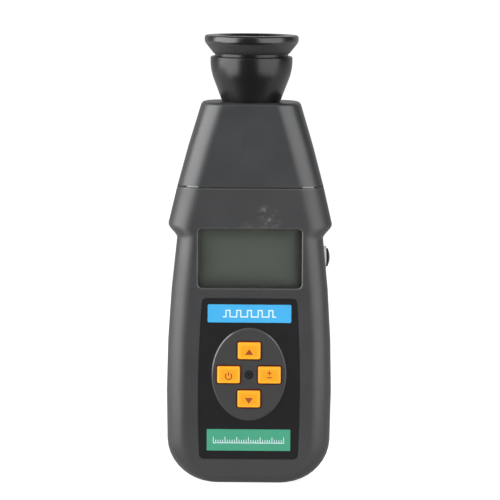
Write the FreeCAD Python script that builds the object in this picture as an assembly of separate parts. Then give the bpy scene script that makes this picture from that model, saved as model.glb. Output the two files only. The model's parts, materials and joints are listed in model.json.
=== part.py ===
import FreeCAD, Part
import math
import os

# A hand-held xenon stroboscope for looking at turning machinery.
# It stands on its bottom end: +Z runs up to the lamp, +X is the user's right and the display looks towards -Y.
# The origin is on the lamp's axis, in the plane of the bottom end. Every size is in millimetres.

# Case outline, seen from the front
GRIP_HALF_WIDTH = 38.7
GRIP_WIDEST_Z = 42.0
GRIP_SIDE_RADIUS = 600.0
FOOT_CORNER_RADIUS = 20.0
SHOULDER_LOW_Z = 115.6
SHOULDER_HIGH_Z = 122.4
SHOULDER_HALF_WIDTH = 38.3
SEAM_Z = 139.45
SEAM_HALF_WIDTH = 34.3
HEAD_TOP_Z = 179.0
HEAD_TOP_HALF_WIDTH = 23.0

# Case outline, seen from the side and from above
BODY_HALF_DEPTH = 18.5
HEAD_TOP_HALF_DEPTH = 15.0
FOOT_EDGE_RADIUS = 5.0
GRIP_CORNER_RADIUS = 9.5
HEAD_CORNER_RADIUS = 12.0
HEAD_EDGE_RADIUS = 1.6

# How finely the case's curves are divided, on its skin and inside, and the turned forms inside the lamp
SKIN_TURNS = 5
CORE_TURNS = 3
GRIP_STEPS = 4
HEAD_STEPS = 2
CROWN_TURNS = 3
MIN_STEP = 0.15
LAMP_FACETS = 36

# Walls, seams and clearances
WALL = 2.2
SEAM_GAP = 0.7
SEAM_COLLAR_INSET = 1.0
SEAM_COLLAR_HEIGHT = 1.8
NECK_WALL = 1.8
NECK_HEIGHT = 8.5
PARTING_REVEAL = 0.4
PARTING_REVEAL_DEPTH = 0.6
FIT = 0.2
CLOSE_FIT = 0.05
RUN_CLEARANCE = 0.3

# Display
DISPLAY_MID_Z = 106.9
DISPLAY_HALF_WIDTH = 24.2
DISPLAY_HALF_HEIGHT = 13.9
DISPLAY_CORNER_RADIUS = 2.0
DISPLAY_CHAMFER = 0.4
WINDOW_THICKNESS = 1.0
WINDOW_SEAT = 0.3
WINDOW_MARGIN = 1.7
LCD_THICKNESS = 2.6
LCD_MARGIN = 1.3
LCD_FRAME_WALL = 0.7
LCD_LEDGE = 3.0
ZEBRA_WIDTH = 2.0

# Printed overlay round the keys
LABEL_LOW_Z = 12.1
LABEL_HIGH_Z = 88.3
LABEL_HALF_WIDTH = 23.8
LABEL_CORNER_RADIUS = 2.2
LABEL_THICKNESS = 0.25
LABEL_RECESS = 0.3

# Keypad
KEYPAD_MID_Z = 52.4
ISLAND_HALF_WIDTH = 17.5
ISLAND_HALF_HEIGHT = 22.0
ISLAND_RISE = 0.6
ISLAND_SLOPE = 0.6
KEY_WIDTH = 10.9
KEY_HEIGHT = 8.3
KEY_CORNER_RADIUS = 0.9
KEY_CHAMFER = 0.4
KEY_PROUD = 0.9
KEY_GAP = 0.4
KEY_FLANGE = 0.7
KEY_FLANGE_THICKNESS = 1.0
KEY_SIDE_PITCH = 9.55
KEY_UP_PITCH = 11.4
KEY_PLACES = {
    "up": (0.0, KEY_UP_PITCH),
    "down": (0.0, -KEY_UP_PITCH),
    "power": (-KEY_SIDE_PITCH, 0.0),
    "fine": (KEY_SIDE_PITCH, 0.0),
}

# Push switches under the keys and the side button
SWITCH_HALF_SIDE = 3.0
SWITCH_HEIGHT = 3.5
PLUNGER_HALF_SIDE = 1.5
PLUNGER_STAND = 1.3
PLUNGER_DEPTH = 0.7
PLUNGER_WELL_DEPTH = 2.0
KEY_STEM_HALF_SIDE = 1.8
KEY_STEM_LENGTH = 0.7

# Screw at the keypad's centre
CENTRE_RECESS_RADIUS = 2.05
CENTRE_RECESS_DEPTH = 1.7
CENTRE_HEAD_RADIUS = 1.85
CENTRE_HEAD_HEIGHT = 0.9
CENTRE_SHANK_RADIUS = 0.9
CENTRE_BOSS_RADIUS = 2.6
CENTRE_NUT_RADIUS = 2.4
CENTRE_NUT_HEIGHT = 1.6

# Main board and what stands on it
BOARD_EDGE_MARGIN = 0.6
BOARD_LOW_Z = 7.5
BOARD_HIGH_Z = 135.0
BOARD_THICKNESS = 1.6
BOARD_POST_X = 21.0
BOARD_POST_LOW_Z = 19.5
BOARD_POST_RADIUS = 3.0
BOARD_SCREW_RADIUS = 1.0
BOARD_SCREW_HEAD_RADIUS = 2.1
BOARD_SCREW_HEAD_HEIGHT = 1.4
BOARD_SCREW_LENGTH = 5.0
CAPACITOR_RADIUS = 7.5
CAPACITOR_LENGTH = 30.0
CAPACITOR_LEG_REACH = 2.0
CAPACITOR_X = -16.0
CAPACITOR_LOW_Z = 92.0
CORE_WIDTH = 18.0
CORE_HEIGHT = 16.0
CORE_DEPTH = 13.0
CORE_LEG = 3.6
CORE_X = 8.0
WINDING_THICKNESS = 3.5
WINDING_ROUNDING = 2.1
CORE_MID_Z = 92.0
TRIGGER_COIL_RADIUS = 4.5
TRIGGER_COIL_LENGTH = 11.0
TRIGGER_COIL_FLANGE = 1.0
TRIGGER_COIL_X = 12.5
TRIGGER_COIL_LOW_Z = 117.0
CHIP_SIDE = 12.0
CHIP_HEIGHT = 1.6
CHIP_LEAD = 0.25
CHIP_MARGIN = 1.1
CHIP_X = -10.0
CHIP_MID_Z = 77.0
CRYSTAL_LENGTH = 10.6
CRYSTAL_WIDTH = 4.4
CRYSTAL_HEIGHT = 3.4
CRYSTAL_X = 6.0
CRYSTAL_MID_Z = 74.0

# Side button
SIDE_BUTTON_Z = 105.65
SIDE_BUTTON_RADIUS = 4.35
SIDE_BUTTON_PROUD = 1.3
SIDE_BUTTON_DOME = 1.0
SIDE_FLANGE = 1.1
SIDE_FLANGE_THICKNESS = 1.0
BEZEL_WALL = 0.9
BEZEL_LEDGE = 1.9
BEZEL_PROUD = 0.6
BEZEL_FLANGE = 1.0
BEZEL_FLANGE_THICKNESS = 1.0
SIDE_BOARD_THICKNESS = 1.6
SIDE_BOARD_HALF_HEIGHT = 6.5
SIDE_BOARD_MARGIN = 4.0

# Battery cells, their bay and its sliding cover
CELL_COUNT = 4
CELL_RADIUS = 7.1
CELL_LENGTH = 49.5
CELL_PITCH = 14.4
NUB_RADIUS = 2.7
NUB_LENGTH = 1.0
CONTACT_THICKNESS = 0.4
CONTACT_HALF_WIDTH = 5.0
CONTACT_TOP_Y = 13.2
SPRING_REACH = 5.0
SPRING_WIDTH = 6.0
SPRING_HALF_SPAN = 4.2
SPRING_BEND = 1.2
SPRING_TAIL = 1.4
BAY_LOW_Z = 9.0
BAY_FLOOR_THICKNESS = 1.5
BAY_END_WALL = 1.8
BAY_SIDE_WALL = 1.8
COVER_THICKNESS = 2.2
COVER_HALF_WIDTH = 28.0
COVER_RAIL_DEPTH = 2.2
COVER_RAIL_WIDTH = 1.0
COVER_TONGUE = 1.4
COVER_TONGUE_THICKNESS = 1.2
COVER_LAP = 2.5
COVER_HOOK_WIDTH = 3.2
COVER_HOOK_ROOT = 3.5
THUMB_DROP = 21.0
THUMB_CORNER_RADIUS = 2.0
THUMB_HALF_WIDTH = 11.0
THUMB_HEIGHT = 12.0
THUMB_DEPTH = 0.9
THUMB_RIDGES = 4
THUMB_RIDGE_WIDTH = 1.1
THUMB_RIDGE_HEIGHT = 0.8

# Screws that close the case and hold the head
CASE_SCREW_ROWS = (80.0, 130.0)
CASE_PILLAR_RADIUS = 3.7
CASE_SCREW_RADIUS = 1.4
CASE_SCREW_LENGTH = 14.0
CASE_HEAD_RADIUS = 2.7
CASE_HEAD_HEIGHT = 1.8
CASE_SEAT_Y = 0.0
LIP_HEIGHT = 1.2
HEAD_SCREW_X = 16.0
HEAD_SCREW_RISE = 5.0
HEAD_SCREW_RADIUS = 1.2
HEAD_SCREW_HEAD_RADIUS = 2.3
HEAD_SCREW_HEAD_HEIGHT = 1.0
HEAD_SCREW_LENGTH = 7.0
HEAD_BOSS_RADIUS = 2.9

# Lamp bowl
BOWL_BASE_RADIUS = 13.6
BOWL_LOW_RADIUS = 16.2
BOWL_LOW_HEIGHT = 6.4
BOWL_HIGH_RADIUS = 18.4
BOWL_HIGH_HEIGHT = 13.0
BOWL_RIM_RADIUS = 19.2
BOWL_HEIGHT = 21.2
BOWL_EDGE = 0.6
BOWL_WALL = 2.0
BOWL_NECK_RADIUS = 10.5
BOWL_NECK_BORE = 8.4
BOWL_NECK_LENGTH = 7.5
SPIGOT_RADIUS = 17.2
SPIGOT_HEIGHT = 5.3
SPIGOT_BORE = 15.4

# Lens ring, rim and lens
RING_GAP = 1.2
RING_FOOT_RADIUS = 17.9
RING_RADIUS = 22.0
RING_CONE_HEIGHT = 5.3
RING_CONE_BULGE = 0.3
RING_BAND_HEIGHT = 3.3
RING_EDGE = 0.7
RING_OVERLAP = 1.4
RING_CHAMFER = 1.0
LENS_THICKNESS = 2.0

# Reflector and flash tube
REFLECTOR_SHEET = 0.7
REFLECTOR_BASE_RADIUS = 6.2
REFLECTOR_MOUTH_RADIUS = 14.2
REFLECTOR_WAIST_RADIUS = 12.2
REFLECTOR_WAIST_HEIGHT = 9.0
REFLECTOR_FLANGE = 0.8
REFLECTOR_FLANGE_RADIUS = 16.6
SOCKET_RADIUS = 9.0
SOCKET_HEIGHT = 3.0
SOCKET_STEM_LENGTH = 4.0
FLASH_TUBE_RADIUS = 1.6
FLASH_TUBE_BORE = 1.1
FLASH_TUBE_HALF_LENGTH = 4.2
FLASH_TUBE_RISE = 6.5
TUBE_CAP_LENGTH = 1.6
TUBE_POST_WIDTH = 0.9
ELECTRODE_RADIUS = 0.6
ELECTRODE_LENGTH = 1.8
TRIGGER_STRIP_THICKNESS = 0.5
NUT_RADIUS = 12.8
NUT_HEIGHT = 3.2
RIBBON_WIDTH = 5.0
RIBBON_THICKNESS = 1.0
RIBBON_BEND = 4.0
RIBBON_STEP_HIGH_Z = 152.0
RIBBON_STEP_LOW_Z = 144.0
CONNECTOR_HALF_WIDTH = 4.0
CONNECTOR_DEPTH = 5.5
CONNECTOR_LOW_Z = 124.0
CONNECTOR_HIGH_Z = 131.0
LEAD_RADIUS = 0.5

# Derived places that several pieces share
FRONT_Y = -BODY_HALF_DEPTH
BACK_Y = BODY_HALF_DEPTH
INNER_FRONT_Y = FRONT_Y + WALL
LABEL_FLOOR_Y = FRONT_Y + LABEL_RECESS
ISLAND_Y = FRONT_Y - ISLAND_RISE
KEY_FRONT_Y = ISLAND_Y - KEY_PROUD
FLANGE_FRONT_Y = INNER_FRONT_Y + RUN_CLEARANCE
FLANGE_BACK_Y = FLANGE_FRONT_Y + KEY_FLANGE_THICKNESS
PLUNGER_FRONT_Y = FLANGE_BACK_Y + KEY_STEM_LENGTH
SWITCH_FRONT_Y = PLUNGER_FRONT_Y + PLUNGER_STAND
BOARD_FRONT_Y = SWITCH_FRONT_Y + SWITCH_HEIGHT
BOARD_BACK_Y = BOARD_FRONT_Y + BOARD_THICKNESS
WINDOW_FRONT_Y = INNER_FRONT_Y - WINDOW_SEAT
WINDOW_BACK_Y = WINDOW_FRONT_Y + WINDOW_THICKNESS
LCD_FRONT_Y = WINDOW_BACK_Y + CLOSE_FIT
LCD_BACK_Y = LCD_FRONT_Y + LCD_THICKNESS
NECK_INSET = WALL + FIT
NECK_TOP_Z = SEAM_Z + NECK_HEIGHT
HEAD_LOW_Z = SEAM_Z + SEAM_GAP
HEAD_ROOF_Z = HEAD_TOP_Z - WALL
COVER_INNER_Y = BACK_Y - COVER_THICKNESS
TONGUE_FRONT_Y = COVER_INNER_Y - COVER_RAIL_DEPTH
TONGUE_BACK_Y = TONGUE_FRONT_Y + COVER_TONGUE_THICKNESS
RAIL_BED_Y = TONGUE_FRONT_Y - RUN_CLEARANCE
HOOK_BACK_Y = COVER_INNER_Y - RUN_CLEARANCE
HOOK_FRONT_Y = HOOK_BACK_Y - COVER_TONGUE_THICKNESS
BAY_FLOOR_Y = BAY_FLOOR_THICKNESS
BAY_HIGH_Z = BAY_LOW_Z + CELL_LENGTH + NUB_LENGTH + SPRING_REACH + 2 * CONTACT_THICKNESS + FIT
BAY_HALF_WIDTH = (CELL_COUNT - 1) / 2 * CELL_PITCH + CELL_RADIUS + FIT
CELL_Y = (BAY_FLOOR_Y + COVER_INNER_Y) / 2
COVER_TOP_Z = BAY_HIGH_Z + COVER_LAP
CONTACT_LOW_Z = BAY_LOW_Z + CONTACT_THICKNESS
CONTACT_HIGH_Z = BAY_HIGH_Z - CONTACT_THICKNESS
CONTACT_MID_Z = BAY_LOW_Z + CONTACT_THICKNESS / 2
CONTACT_FOOT_Y = BAY_FLOOR_Y + FIT
HEAD_SCREW_Z = SEAM_Z + HEAD_SCREW_RISE
LEDGE_Z = HEAD_TOP_Z + BOWL_HEIGHT
SPIGOT_TOP_Z = LEDGE_Z + SPIGOT_HEIGHT
REFLECTOR_TOP_Z = SPIGOT_TOP_Z + REFLECTOR_FLANGE
LENS_LOW_Z = REFLECTOR_TOP_Z + CLOSE_FIT
LENS_TOP_Z = LENS_LOW_Z + LENS_THICKNESS
RING_LOW_Z = LEDGE_Z + RING_GAP
RING_BAND_Z = RING_LOW_Z + RING_CONE_HEIGHT
RING_TOP_Z = RING_BAND_Z + RING_BAND_HEIGHT
LENS_RADIUS = SPIGOT_RADIUS - 0.4
MOUTH_RADIUS = LENS_RADIUS - RING_OVERLAP
SOCKET_LOW_Z = HEAD_TOP_Z + BOWL_WALL
SOCKET_TOP_Z = SOCKET_LOW_Z + SOCKET_HEIGHT
REFLECTOR_LOW_Z = SOCKET_TOP_Z + FIT
FLASH_TUBE_Z = SOCKET_TOP_Z + FLASH_TUBE_RISE
FAR = 60.0
TINY = 1e-6


def point(x, y, z):
    return FreeCAD.Vector(x, y, z)


X_AXIS = point(1, 0, 0)
Y_AXIS = point(0, 1, 0)
Z_AXIS = point(0, 0, 1)


def box(x_low, x_high, y_low, y_high, z_low, z_high):
    """A block between two corners."""
    return Part.makeBox(x_high - x_low, y_high - y_low, z_high - z_low, point(x_low, y_low, z_low))


def rod(start, end, radius):
    """A round bar from one point to another."""
    return Part.makeCylinder(radius, (end - start).Length, start, end - start)


def pipe(start, end, radius, bore):
    """A round bar with a hole right through it."""
    return rod(start, end, radius).cut(rod(start, end, bore))


def rod_y(x, z, y_low, y_high, radius):
    """A round bar from front to back."""
    return rod(point(x, y_low, z), point(x, y_high, z), radius)


def post_y(x, z, y_low, y_high, radius):
    """An eight-sided post that stands along Y, with flat sides at the given radius."""
    reach = radius / math.cos(math.pi / 8)
    turns = [math.pi / 8 * (2 * side + 1) for side in range(8)]
    corners = [point(x + reach * math.cos(turn), y_low, z + reach * math.sin(turn)) for turn in turns]
    return Part.Face(Part.makePolygon(corners + corners[:1])).extrude(point(0, y_high - y_low, 0))


def rounded_loop(u_low, u_high, v_low, v_high, radius, place, faceted=False):
    """A closed loop of four sides and four quarter arcs or pairs of chords, which place(u, v) puts in space."""
    near = radius * (1 - math.sqrt(0.5))
    sides = (
        ((u_low + radius, v_low), (u_high - radius, v_low), (u_high - near, v_low + near)),
        ((u_high, v_low + radius), (u_high, v_high - radius), (u_high - near, v_high - near)),
        ((u_high - radius, v_high), (u_low + radius, v_high), (u_low + near, v_high - near)),
        ((u_low, v_high - radius), (u_low, v_low + radius), (u_low + near, v_low + near)),
    )
    edges = []
    for index, (start, end, middle) in enumerate(sides):
        following = sides[(index + 1) % len(sides)][0]
        edges.append(Part.LineSegment(place(*start), place(*end)).toShape())
        if faceted:
            edges.append(Part.LineSegment(place(*end), place(*middle)).toShape())
            edges.append(Part.LineSegment(place(*middle), place(*following)).toShape())
        else:
            edges.append(Part.Arc(place(*end), place(*middle), place(*following)).toShape())
    return Part.Wire(edges)


def front_loop(half_width, z_low, z_high, radius, y, x_mid=0.0):
    """A rounded rectangle that faces the front."""
    return rounded_loop(x_mid - half_width, x_mid + half_width, z_low, z_high, radius, lambda u, v: point(u, y, v))


def front_plate(half_width, z_low, z_high, radius, y_low, y_high, x_mid=0.0):
    """A rounded plate that faces the front."""
    loop = front_loop(half_width, z_low, z_high, radius, y_low, x_mid)
    return Part.Face(loop).extrude(point(0, y_high - y_low, 0))


def lathe(steps):
    """Turns a closed profile of (radius, z) steps about the lamp's axis."""
    corners = [point(radius, 0, z) for radius, z in steps]
    return Part.Face(Part.makePolygon(corners + corners[:1])).revolve(point(0, 0, 0), Z_AXIS, 360)


def closed_solid(faces):
    """A solid from the faces that enclose it, with level neighbours joined."""
    shell = Part.Shell(faces)
    shell.sewShape()
    solid = Part.Solid(shell)
    if solid.Volume < 0:
        solid.reverse()
    return solid.removeSplitter()


def facet_lathe(steps):
    """Turns a profile of (radius, z) steps about the lamp's axis in flat facets."""
    faces = []
    turn = 2 * math.pi / LAMP_FACETS
    spots = [
        [point(radius * math.cos(turn * k), radius * math.sin(turn * k), z) for radius, z in steps]
        for k in range(LAMP_FACETS)
    ]
    for k in range(LAMP_FACETS):
        here, there = spots[k - 1], spots[k]
        for step in range(len(steps)):
            loop = [here[step - 1], here[step], there[step], there[step - 1]]
            loop = [spot for n, spot in enumerate(loop) if (spot - loop[n - 1]).Length > TINY]
            if len(loop) > 2:
                faces.append(Part.Face(Part.makePolygon(loop + loop[:1])))
    return closed_solid(faces)


def ease(share):
    """A smooth step from 0 to 1."""
    share = min(1.0, max(0.0, share))
    return share * share * (3 - 2 * share)


def through_three(z, places):
    """The curve of second order through three (z, value) places."""
    total = 0.0
    for index, (own_z, value) in enumerate(places):
        weight = value
        for other, (other_z, _) in enumerate(places):
            if other != index:
                weight *= (z - other_z) / (own_z - other_z)
        total += weight
    return total


def side_half_width(z):
    """Half the case's width, without the round corners at its foot."""
    grip = GRIP_HALF_WIDTH - (z - GRIP_WIDEST_Z) ** 2 / (2 * GRIP_SIDE_RADIUS)
    head_places = (
        (SHOULDER_HIGH_Z, SHOULDER_HALF_WIDTH),
        (SEAM_Z, SEAM_HALF_WIDTH),
        (HEAD_TOP_Z, HEAD_TOP_HALF_WIDTH),
    )
    head = through_three(z, head_places)
    share = ease((z - SHOULDER_LOW_Z) / (SHOULDER_HIGH_Z - SHOULDER_LOW_Z))
    return grip + (head - grip) * share


def crown(z):
    """How far the rounded top edge of the head draws the sides in."""
    rise = max(0.0, z - HEAD_TOP_Z + HEAD_EDGE_RADIUS)
    return HEAD_EDGE_RADIUS - math.sqrt(HEAD_EDGE_RADIUS ** 2 - rise ** 2)


def half_width(z, inset):
    """Half the width of the case, or of the same form a wall's thickness further in."""
    if z >= FOOT_CORNER_RADIUS:
        return side_half_width(z) - inset - crown(z)
    reach = (FOOT_CORNER_RADIUS - inset) ** 2 - (FOOT_CORNER_RADIUS - z) ** 2
    return side_half_width(z) - FOOT_CORNER_RADIUS + math.sqrt(max(0.0, reach))


def half_depth(z, inset):
    """Half the depth of the case, which is rounded at its foot and thins towards the lamp."""
    if z < FOOT_EDGE_RADIUS:
        reach = (FOOT_EDGE_RADIUS - inset) ** 2 - (FOOT_EDGE_RADIUS - z) ** 2
        return BODY_HALF_DEPTH - FOOT_EDGE_RADIUS + math.sqrt(max(0.0, reach))
    taper = (BODY_HALF_DEPTH - HEAD_TOP_HALF_DEPTH) * max(0.0, z - SEAM_Z) / (HEAD_TOP_Z - SEAM_Z)
    return BODY_HALF_DEPTH - taper - inset - crown(z)


def corner_radius(z, inset):
    """Radius of the long rounded edges, which are softer at the head than at the grip."""
    share = ease((z - SHOULDER_LOW_Z) / (SHOULDER_HIGH_Z - SHOULDER_LOW_Z))
    radius = GRIP_CORNER_RADIUS + (HEAD_CORNER_RADIUS - GRIP_CORNER_RADIUS) * share
    foot = BODY_HALF_DEPTH - inset - half_depth(z, inset) if z < FOOT_EDGE_RADIUS else 0.0
    return radius - inset - foot - crown(z)


SIDE_WALL_X = side_half_width(SIDE_BUTTON_Z)
BUTTON_BORE = SIDE_BUTTON_RADIUS + 2 * CLOSE_FIT
BEZEL_RADIUS = BUTTON_BORE + BEZEL_WALL
BEZEL_SEAT_X = SIDE_WALL_X - BEZEL_LEDGE
BUTTON_FLANGE_X = BEZEL_SEAT_X - BEZEL_FLANGE_THICKNESS - RUN_CLEARANCE
SIDE_SWITCH_X = BUTTON_FLANGE_X - SIDE_FLANGE_THICKNESS - PLUNGER_STAND
SIDE_BOARD_X = SIDE_SWITCH_X - SWITCH_HEIGHT
BOARD_HALF_WIDTH = SIDE_BOARD_X + BOARD_EDGE_MARGIN
HEAD_SCREW_SEAT_Y = half_depth(HEAD_SCREW_Z, 0) - HEAD_SCREW_HEAD_HEIGHT - FIT


def case_section(z, inset):
    """The case's cross-section at one height, with chords for corners on the inside."""
    wide, deep = half_width(z, inset), half_depth(z, inset)
    radius = corner_radius(z, inset)
    return rounded_loop(-wide, wide, -deep, deep, radius, lambda u, v: point(u, v, z), inset > 0)


def case_levels(z_low, z_high, inset):
    """Heights of the cross-sections: at even turns round the foot, and apart where the outline is nearly straight."""
    turns = SKIN_TURNS if inset == 0 else CORE_TURNS
    edge, foot = FOOT_EDGE_RADIUS - inset, FOOT_CORNER_RADIUS - inset
    start = math.acos((FOOT_CORNER_RADIUS - FOOT_EDGE_RADIUS) / foot)
    levels = [FOOT_EDGE_RADIUS - edge * math.cos(math.pi / 2 * turn / turns) for turn in range(turns + 1)]
    for turn in range(1, turns + 1):
        levels.append(FOOT_CORNER_RADIUS - foot * math.cos(start + (math.pi / 2 - start) * turn / turns))
    stretches = (
        (FOOT_CORNER_RADIUS, SHOULDER_LOW_Z, GRIP_STEPS),
        (SHOULDER_LOW_Z, SHOULDER_HIGH_Z, turns + 1),
        (SHOULDER_HIGH_Z, SEAM_Z, 1),
        (SEAM_Z, HEAD_TOP_Z - HEAD_EDGE_RADIUS, HEAD_STEPS),
    )
    for low, high, steps in stretches:
        levels += [low + (high - low) * step / steps for step in range(1, steps + 1)]
    for turn in range(1, CROWN_TURNS):
        levels.append(HEAD_TOP_Z - HEAD_EDGE_RADIUS * (1 - math.sin(math.pi / 2 * turn / CROWN_TURNS)))
    return [z_low] + [z for z in levels if z_low + MIN_STEP < z < z_high - MIN_STEP] + [z_high]


def case_form(inset, z_low, z_high):
    """The case as a closed form, inset from its outer skin: flat faces, and conical ones round the long edges."""
    sections = [case_section(z, inset) for z in case_levels(z_low, z_high, inset)]
    faces = [Part.Face(sections[0]), Part.Face(sections[-1])]
    for low, high in zip(sections, sections[1:]):
        for start, end in zip(low.OrderedEdges, high.OrderedEdges):
            if isinstance(start.Curve, Part.Circle):
                faces.append(Part.makeRuledSurface(start, end))
            else:
                ends = [start.firstVertex(True), start.lastVertex(True), end.lastVertex(True), end.firstVertex(True)]
                faces.append(Part.Face(Part.makePolygon([vertex.Point for vertex in ends + ends[:1]])))
    return closed_solid(faces)


def front_half(shape):
    return shape.common(box(-FAR, FAR, -FAR, 0, -FAR, HEAD_TOP_Z + FAR))


def rear_half(shape):
    return shape.common(box(-FAR, FAR, 0, FAR, -FAR, HEAD_TOP_Z + FAR))


def fused(first, *others):
    """Several overlapping pieces as one solid."""
    return first.fuse(list(others)).removeSplitter()


def label_half_width(z):
    """The overlay's sides follow the sides of the grip."""
    return LABEL_HALF_WIDTH - (z - GRIP_WIDEST_Z) ** 2 / (2 * GRIP_SIDE_RADIUS)


def label_form(grow, y_low, y_high):
    """The printed overlay's outline: bowed sides and rounded corners."""
    low, high = LABEL_LOW_Z - grow, LABEL_HIGH_Z + grow
    foot, top = label_half_width(low) + grow, label_half_width(high) + grow
    middle_z = (low + high) / 2
    middle = label_half_width(middle_z) + grow
    corners = [point(-foot, y_low, low), point(foot, y_low, low), point(top, y_low, high), point(-top, y_low, high)]
    edges = [
        Part.LineSegment(corners[0], corners[1]).toShape(),
        Part.Arc(corners[1], point(middle, y_low, middle_z), corners[2]).toShape(),
        Part.LineSegment(corners[2], corners[3]).toShape(),
        Part.Arc(corners[3], point(-middle, y_low, middle_z), corners[0]).toShape(),
    ]
    form = Part.Face(Part.Wire(edges)).extrude(point(0, y_high - y_low, 0))
    upright = [e for e in form.Edges if abs(abs(e.tangentAt(e.FirstParameter).y) - 1) < TINY]
    return form.makeFillet(LABEL_CORNER_RADIUS + grow, upright)


def island_loop(grow, y):
    """The keypad's oval, at one depth."""
    middle = point(0, y, KEYPAD_MID_Z)
    top = point(0, y, KEYPAD_MID_Z + ISLAND_HALF_HEIGHT + grow)
    side = point(ISLAND_HALF_WIDTH + grow, y, KEYPAD_MID_Z)
    return Part.Wire([Part.Ellipse(top, side, middle).toShape()])


def island():
    """The raised oval that the keys come through, with a sloping edge."""
    base = Part.Face(island_loop(0, INNER_FRONT_Y)).extrude(point(0, FRONT_Y - INNER_FRONT_Y, 0))
    slope = Part.makeLoft([island_loop(0, FRONT_Y), island_loop(-ISLAND_SLOPE, ISLAND_Y)], True, True)
    return base.fuse(slope)


def key_hole(x, z):
    return front_plate(
        KEY_WIDTH / 2 + KEY_GAP,
        KEYPAD_MID_Z + z - KEY_HEIGHT / 2 - KEY_GAP,
        KEYPAD_MID_Z + z + KEY_HEIGHT / 2 + KEY_GAP,
        KEY_CORNER_RADIUS + KEY_GAP,
        KEY_FRONT_Y,
        INNER_FRONT_Y + FIT,
        x,
    )


def display_cut():
    """The display's opening with its bevelled edge, and the seat behind it for the window."""
    low, high = DISPLAY_MID_Z - DISPLAY_HALF_HEIGHT, DISPLAY_MID_Z + DISPLAY_HALF_HEIGHT
    opening = front_plate(DISPLAY_HALF_WIDTH, low, high, DISPLAY_CORNER_RADIUS, KEY_FRONT_Y, BOARD_FRONT_Y)
    wide = DISPLAY_CHAMFER
    bevel = Part.makeLoft(
        [
            front_loop(DISPLAY_HALF_WIDTH + wide, low - wide, high + wide, DISPLAY_CORNER_RADIUS + wide, FRONT_Y),
            front_loop(DISPLAY_HALF_WIDTH, low, high, DISPLAY_CORNER_RADIUS, FRONT_Y + DISPLAY_CHAMFER),
        ],
        True,
        True,
    )
    margin = WINDOW_MARGIN + FIT
    seat = box(
        -DISPLAY_HALF_WIDTH - margin,
        DISPLAY_HALF_WIDTH + margin,
        WINDOW_FRONT_Y,
        LCD_BACK_Y,
        low - margin,
        high + margin,
    )
    return opening.fuse([bevel, seat])


def case_rim():
    """The collar and neck at the top of the case, which the head fits over."""
    collar = case_form(SEAM_COLLAR_INSET, SEAM_Z - WALL, SEAM_Z + SEAM_COLLAR_HEIGHT)
    neck = case_form(NECK_INSET, SEAM_Z - WALL, NECK_TOP_Z)
    core = case_form(NECK_INSET + NECK_WALL, SEAM_Z - 2 * WALL, NECK_TOP_Z + WALL)
    return collar.fuse(neck).cut(core)


def hollow_case():
    """The whole case below the head, before it is parted into a front and a rear shell."""
    outer = case_form(0, 0, SEAM_Z)
    inner = case_form(WALL, WALL, SEAM_Z + WALL)
    return outer.cut(inner).fuse(case_rim())


def side_hole():
    """The round hole on the parting line that holds the side button's bezel."""
    start = point(SIDE_WALL_X - 2 * WALL, 0, SIDE_BUTTON_Z)
    return rod(start, start + X_AXIS * 4 * WALL, BEZEL_RADIUS + CLOSE_FIT)


def lip(inset, inner_inset, height):
    """The tongue along the parting line, on the inner half of the wall."""
    top = SEAM_Z - 2 * WALL
    outer = case_form(inset, inset, top)
    inner = case_form(inner_inset, inner_inset, top + WALL)
    return outer.cut(inner).common(box(-FAR, FAR, -FIT, height, -FAR, top))


def reveal():
    """The shallow groove that runs round the case at the parting line."""
    top = SEAM_Z - PARTING_REVEAL_DEPTH
    core = case_form(PARTING_REVEAL_DEPTH, PARTING_REVEAL_DEPTH, SEAM_Z)
    return box(-FAR, FAR, -PARTING_REVEAL / 2, PARTING_REVEAL / 2, -FAR, top).cut(core)


def button_seat():
    """Space inside the wall for the side bezel's flange."""
    radius = BEZEL_RADIUS + BEZEL_FLANGE + FIT
    return rod(point(BUTTON_FLANGE_X - FIT, 0, SIDE_BUTTON_Z), point(BEZEL_SEAT_X, 0, SIDE_BUTTON_Z), radius)


def low_posts():
    """Places of the two posts under the battery bay, where screws hold the board alone."""
    return [(x, BOARD_POST_LOW_Z) for x in (-BOARD_POST_X, BOARD_POST_X)]


def case_pillars():
    """Places of the four pillars that clamp the board, where screws hold the whole case."""
    return [(x, z) for x in (-BOARD_POST_X, BOARD_POST_X) for z in CASE_SCREW_ROWS]


def board_posts():
    return low_posts() + case_pillars()


def front_shell(case):
    """The front half of the case, with its display opening, keypad and posts."""
    shell = front_half(case).fuse(lip(WALL / 2, WALL - CLOSE_FIT, LIP_HEIGHT))
    shell = shell.cut([label_form(FIT / 2, FRONT_Y - WALL, LABEL_FLOOR_Y), reveal()]).fuse(island())
    posts = [post_y(0, KEYPAD_MID_Z, INNER_FRONT_Y - WALL / 2, BOARD_FRONT_Y, CENTRE_BOSS_RADIUS)]
    cuts = [display_cut(), side_hole(), button_seat()]
    cuts += [key_hole(x, z) for x, z in KEY_PLACES.values()]
    cuts.append(rod_y(0, KEYPAD_MID_Z, KEY_FRONT_Y, ISLAND_Y + CENTRE_RECESS_DEPTH, CENTRE_RECESS_RADIUS))
    cuts.append(rod_y(0, KEYPAD_MID_Z, ISLAND_Y, BOARD_FRONT_Y, CENTRE_SHANK_RADIUS + CLOSE_FIT))
    for x, z in board_posts():
        posts.append(post_y(x, z, INNER_FRONT_Y - WALL / 2, BOARD_FRONT_Y, BOARD_POST_RADIUS))
    for x, z in low_posts():
        start = BOARD_BACK_Y - BOARD_SCREW_LENGTH - FIT
        cuts.append(rod_y(x, z, start, BOARD_FRONT_Y, BOARD_SCREW_RADIUS + CLOSE_FIT))
    for x, z in case_pillars():
        start = CASE_SEAT_Y - CASE_SCREW_LENGTH - FIT
        cuts.append(rod_y(x, z, start, BOARD_FRONT_Y, CASE_SCREW_RADIUS + CLOSE_FIT))
    return shell.fuse(posts).cut(cuts).removeSplitter()


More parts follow.
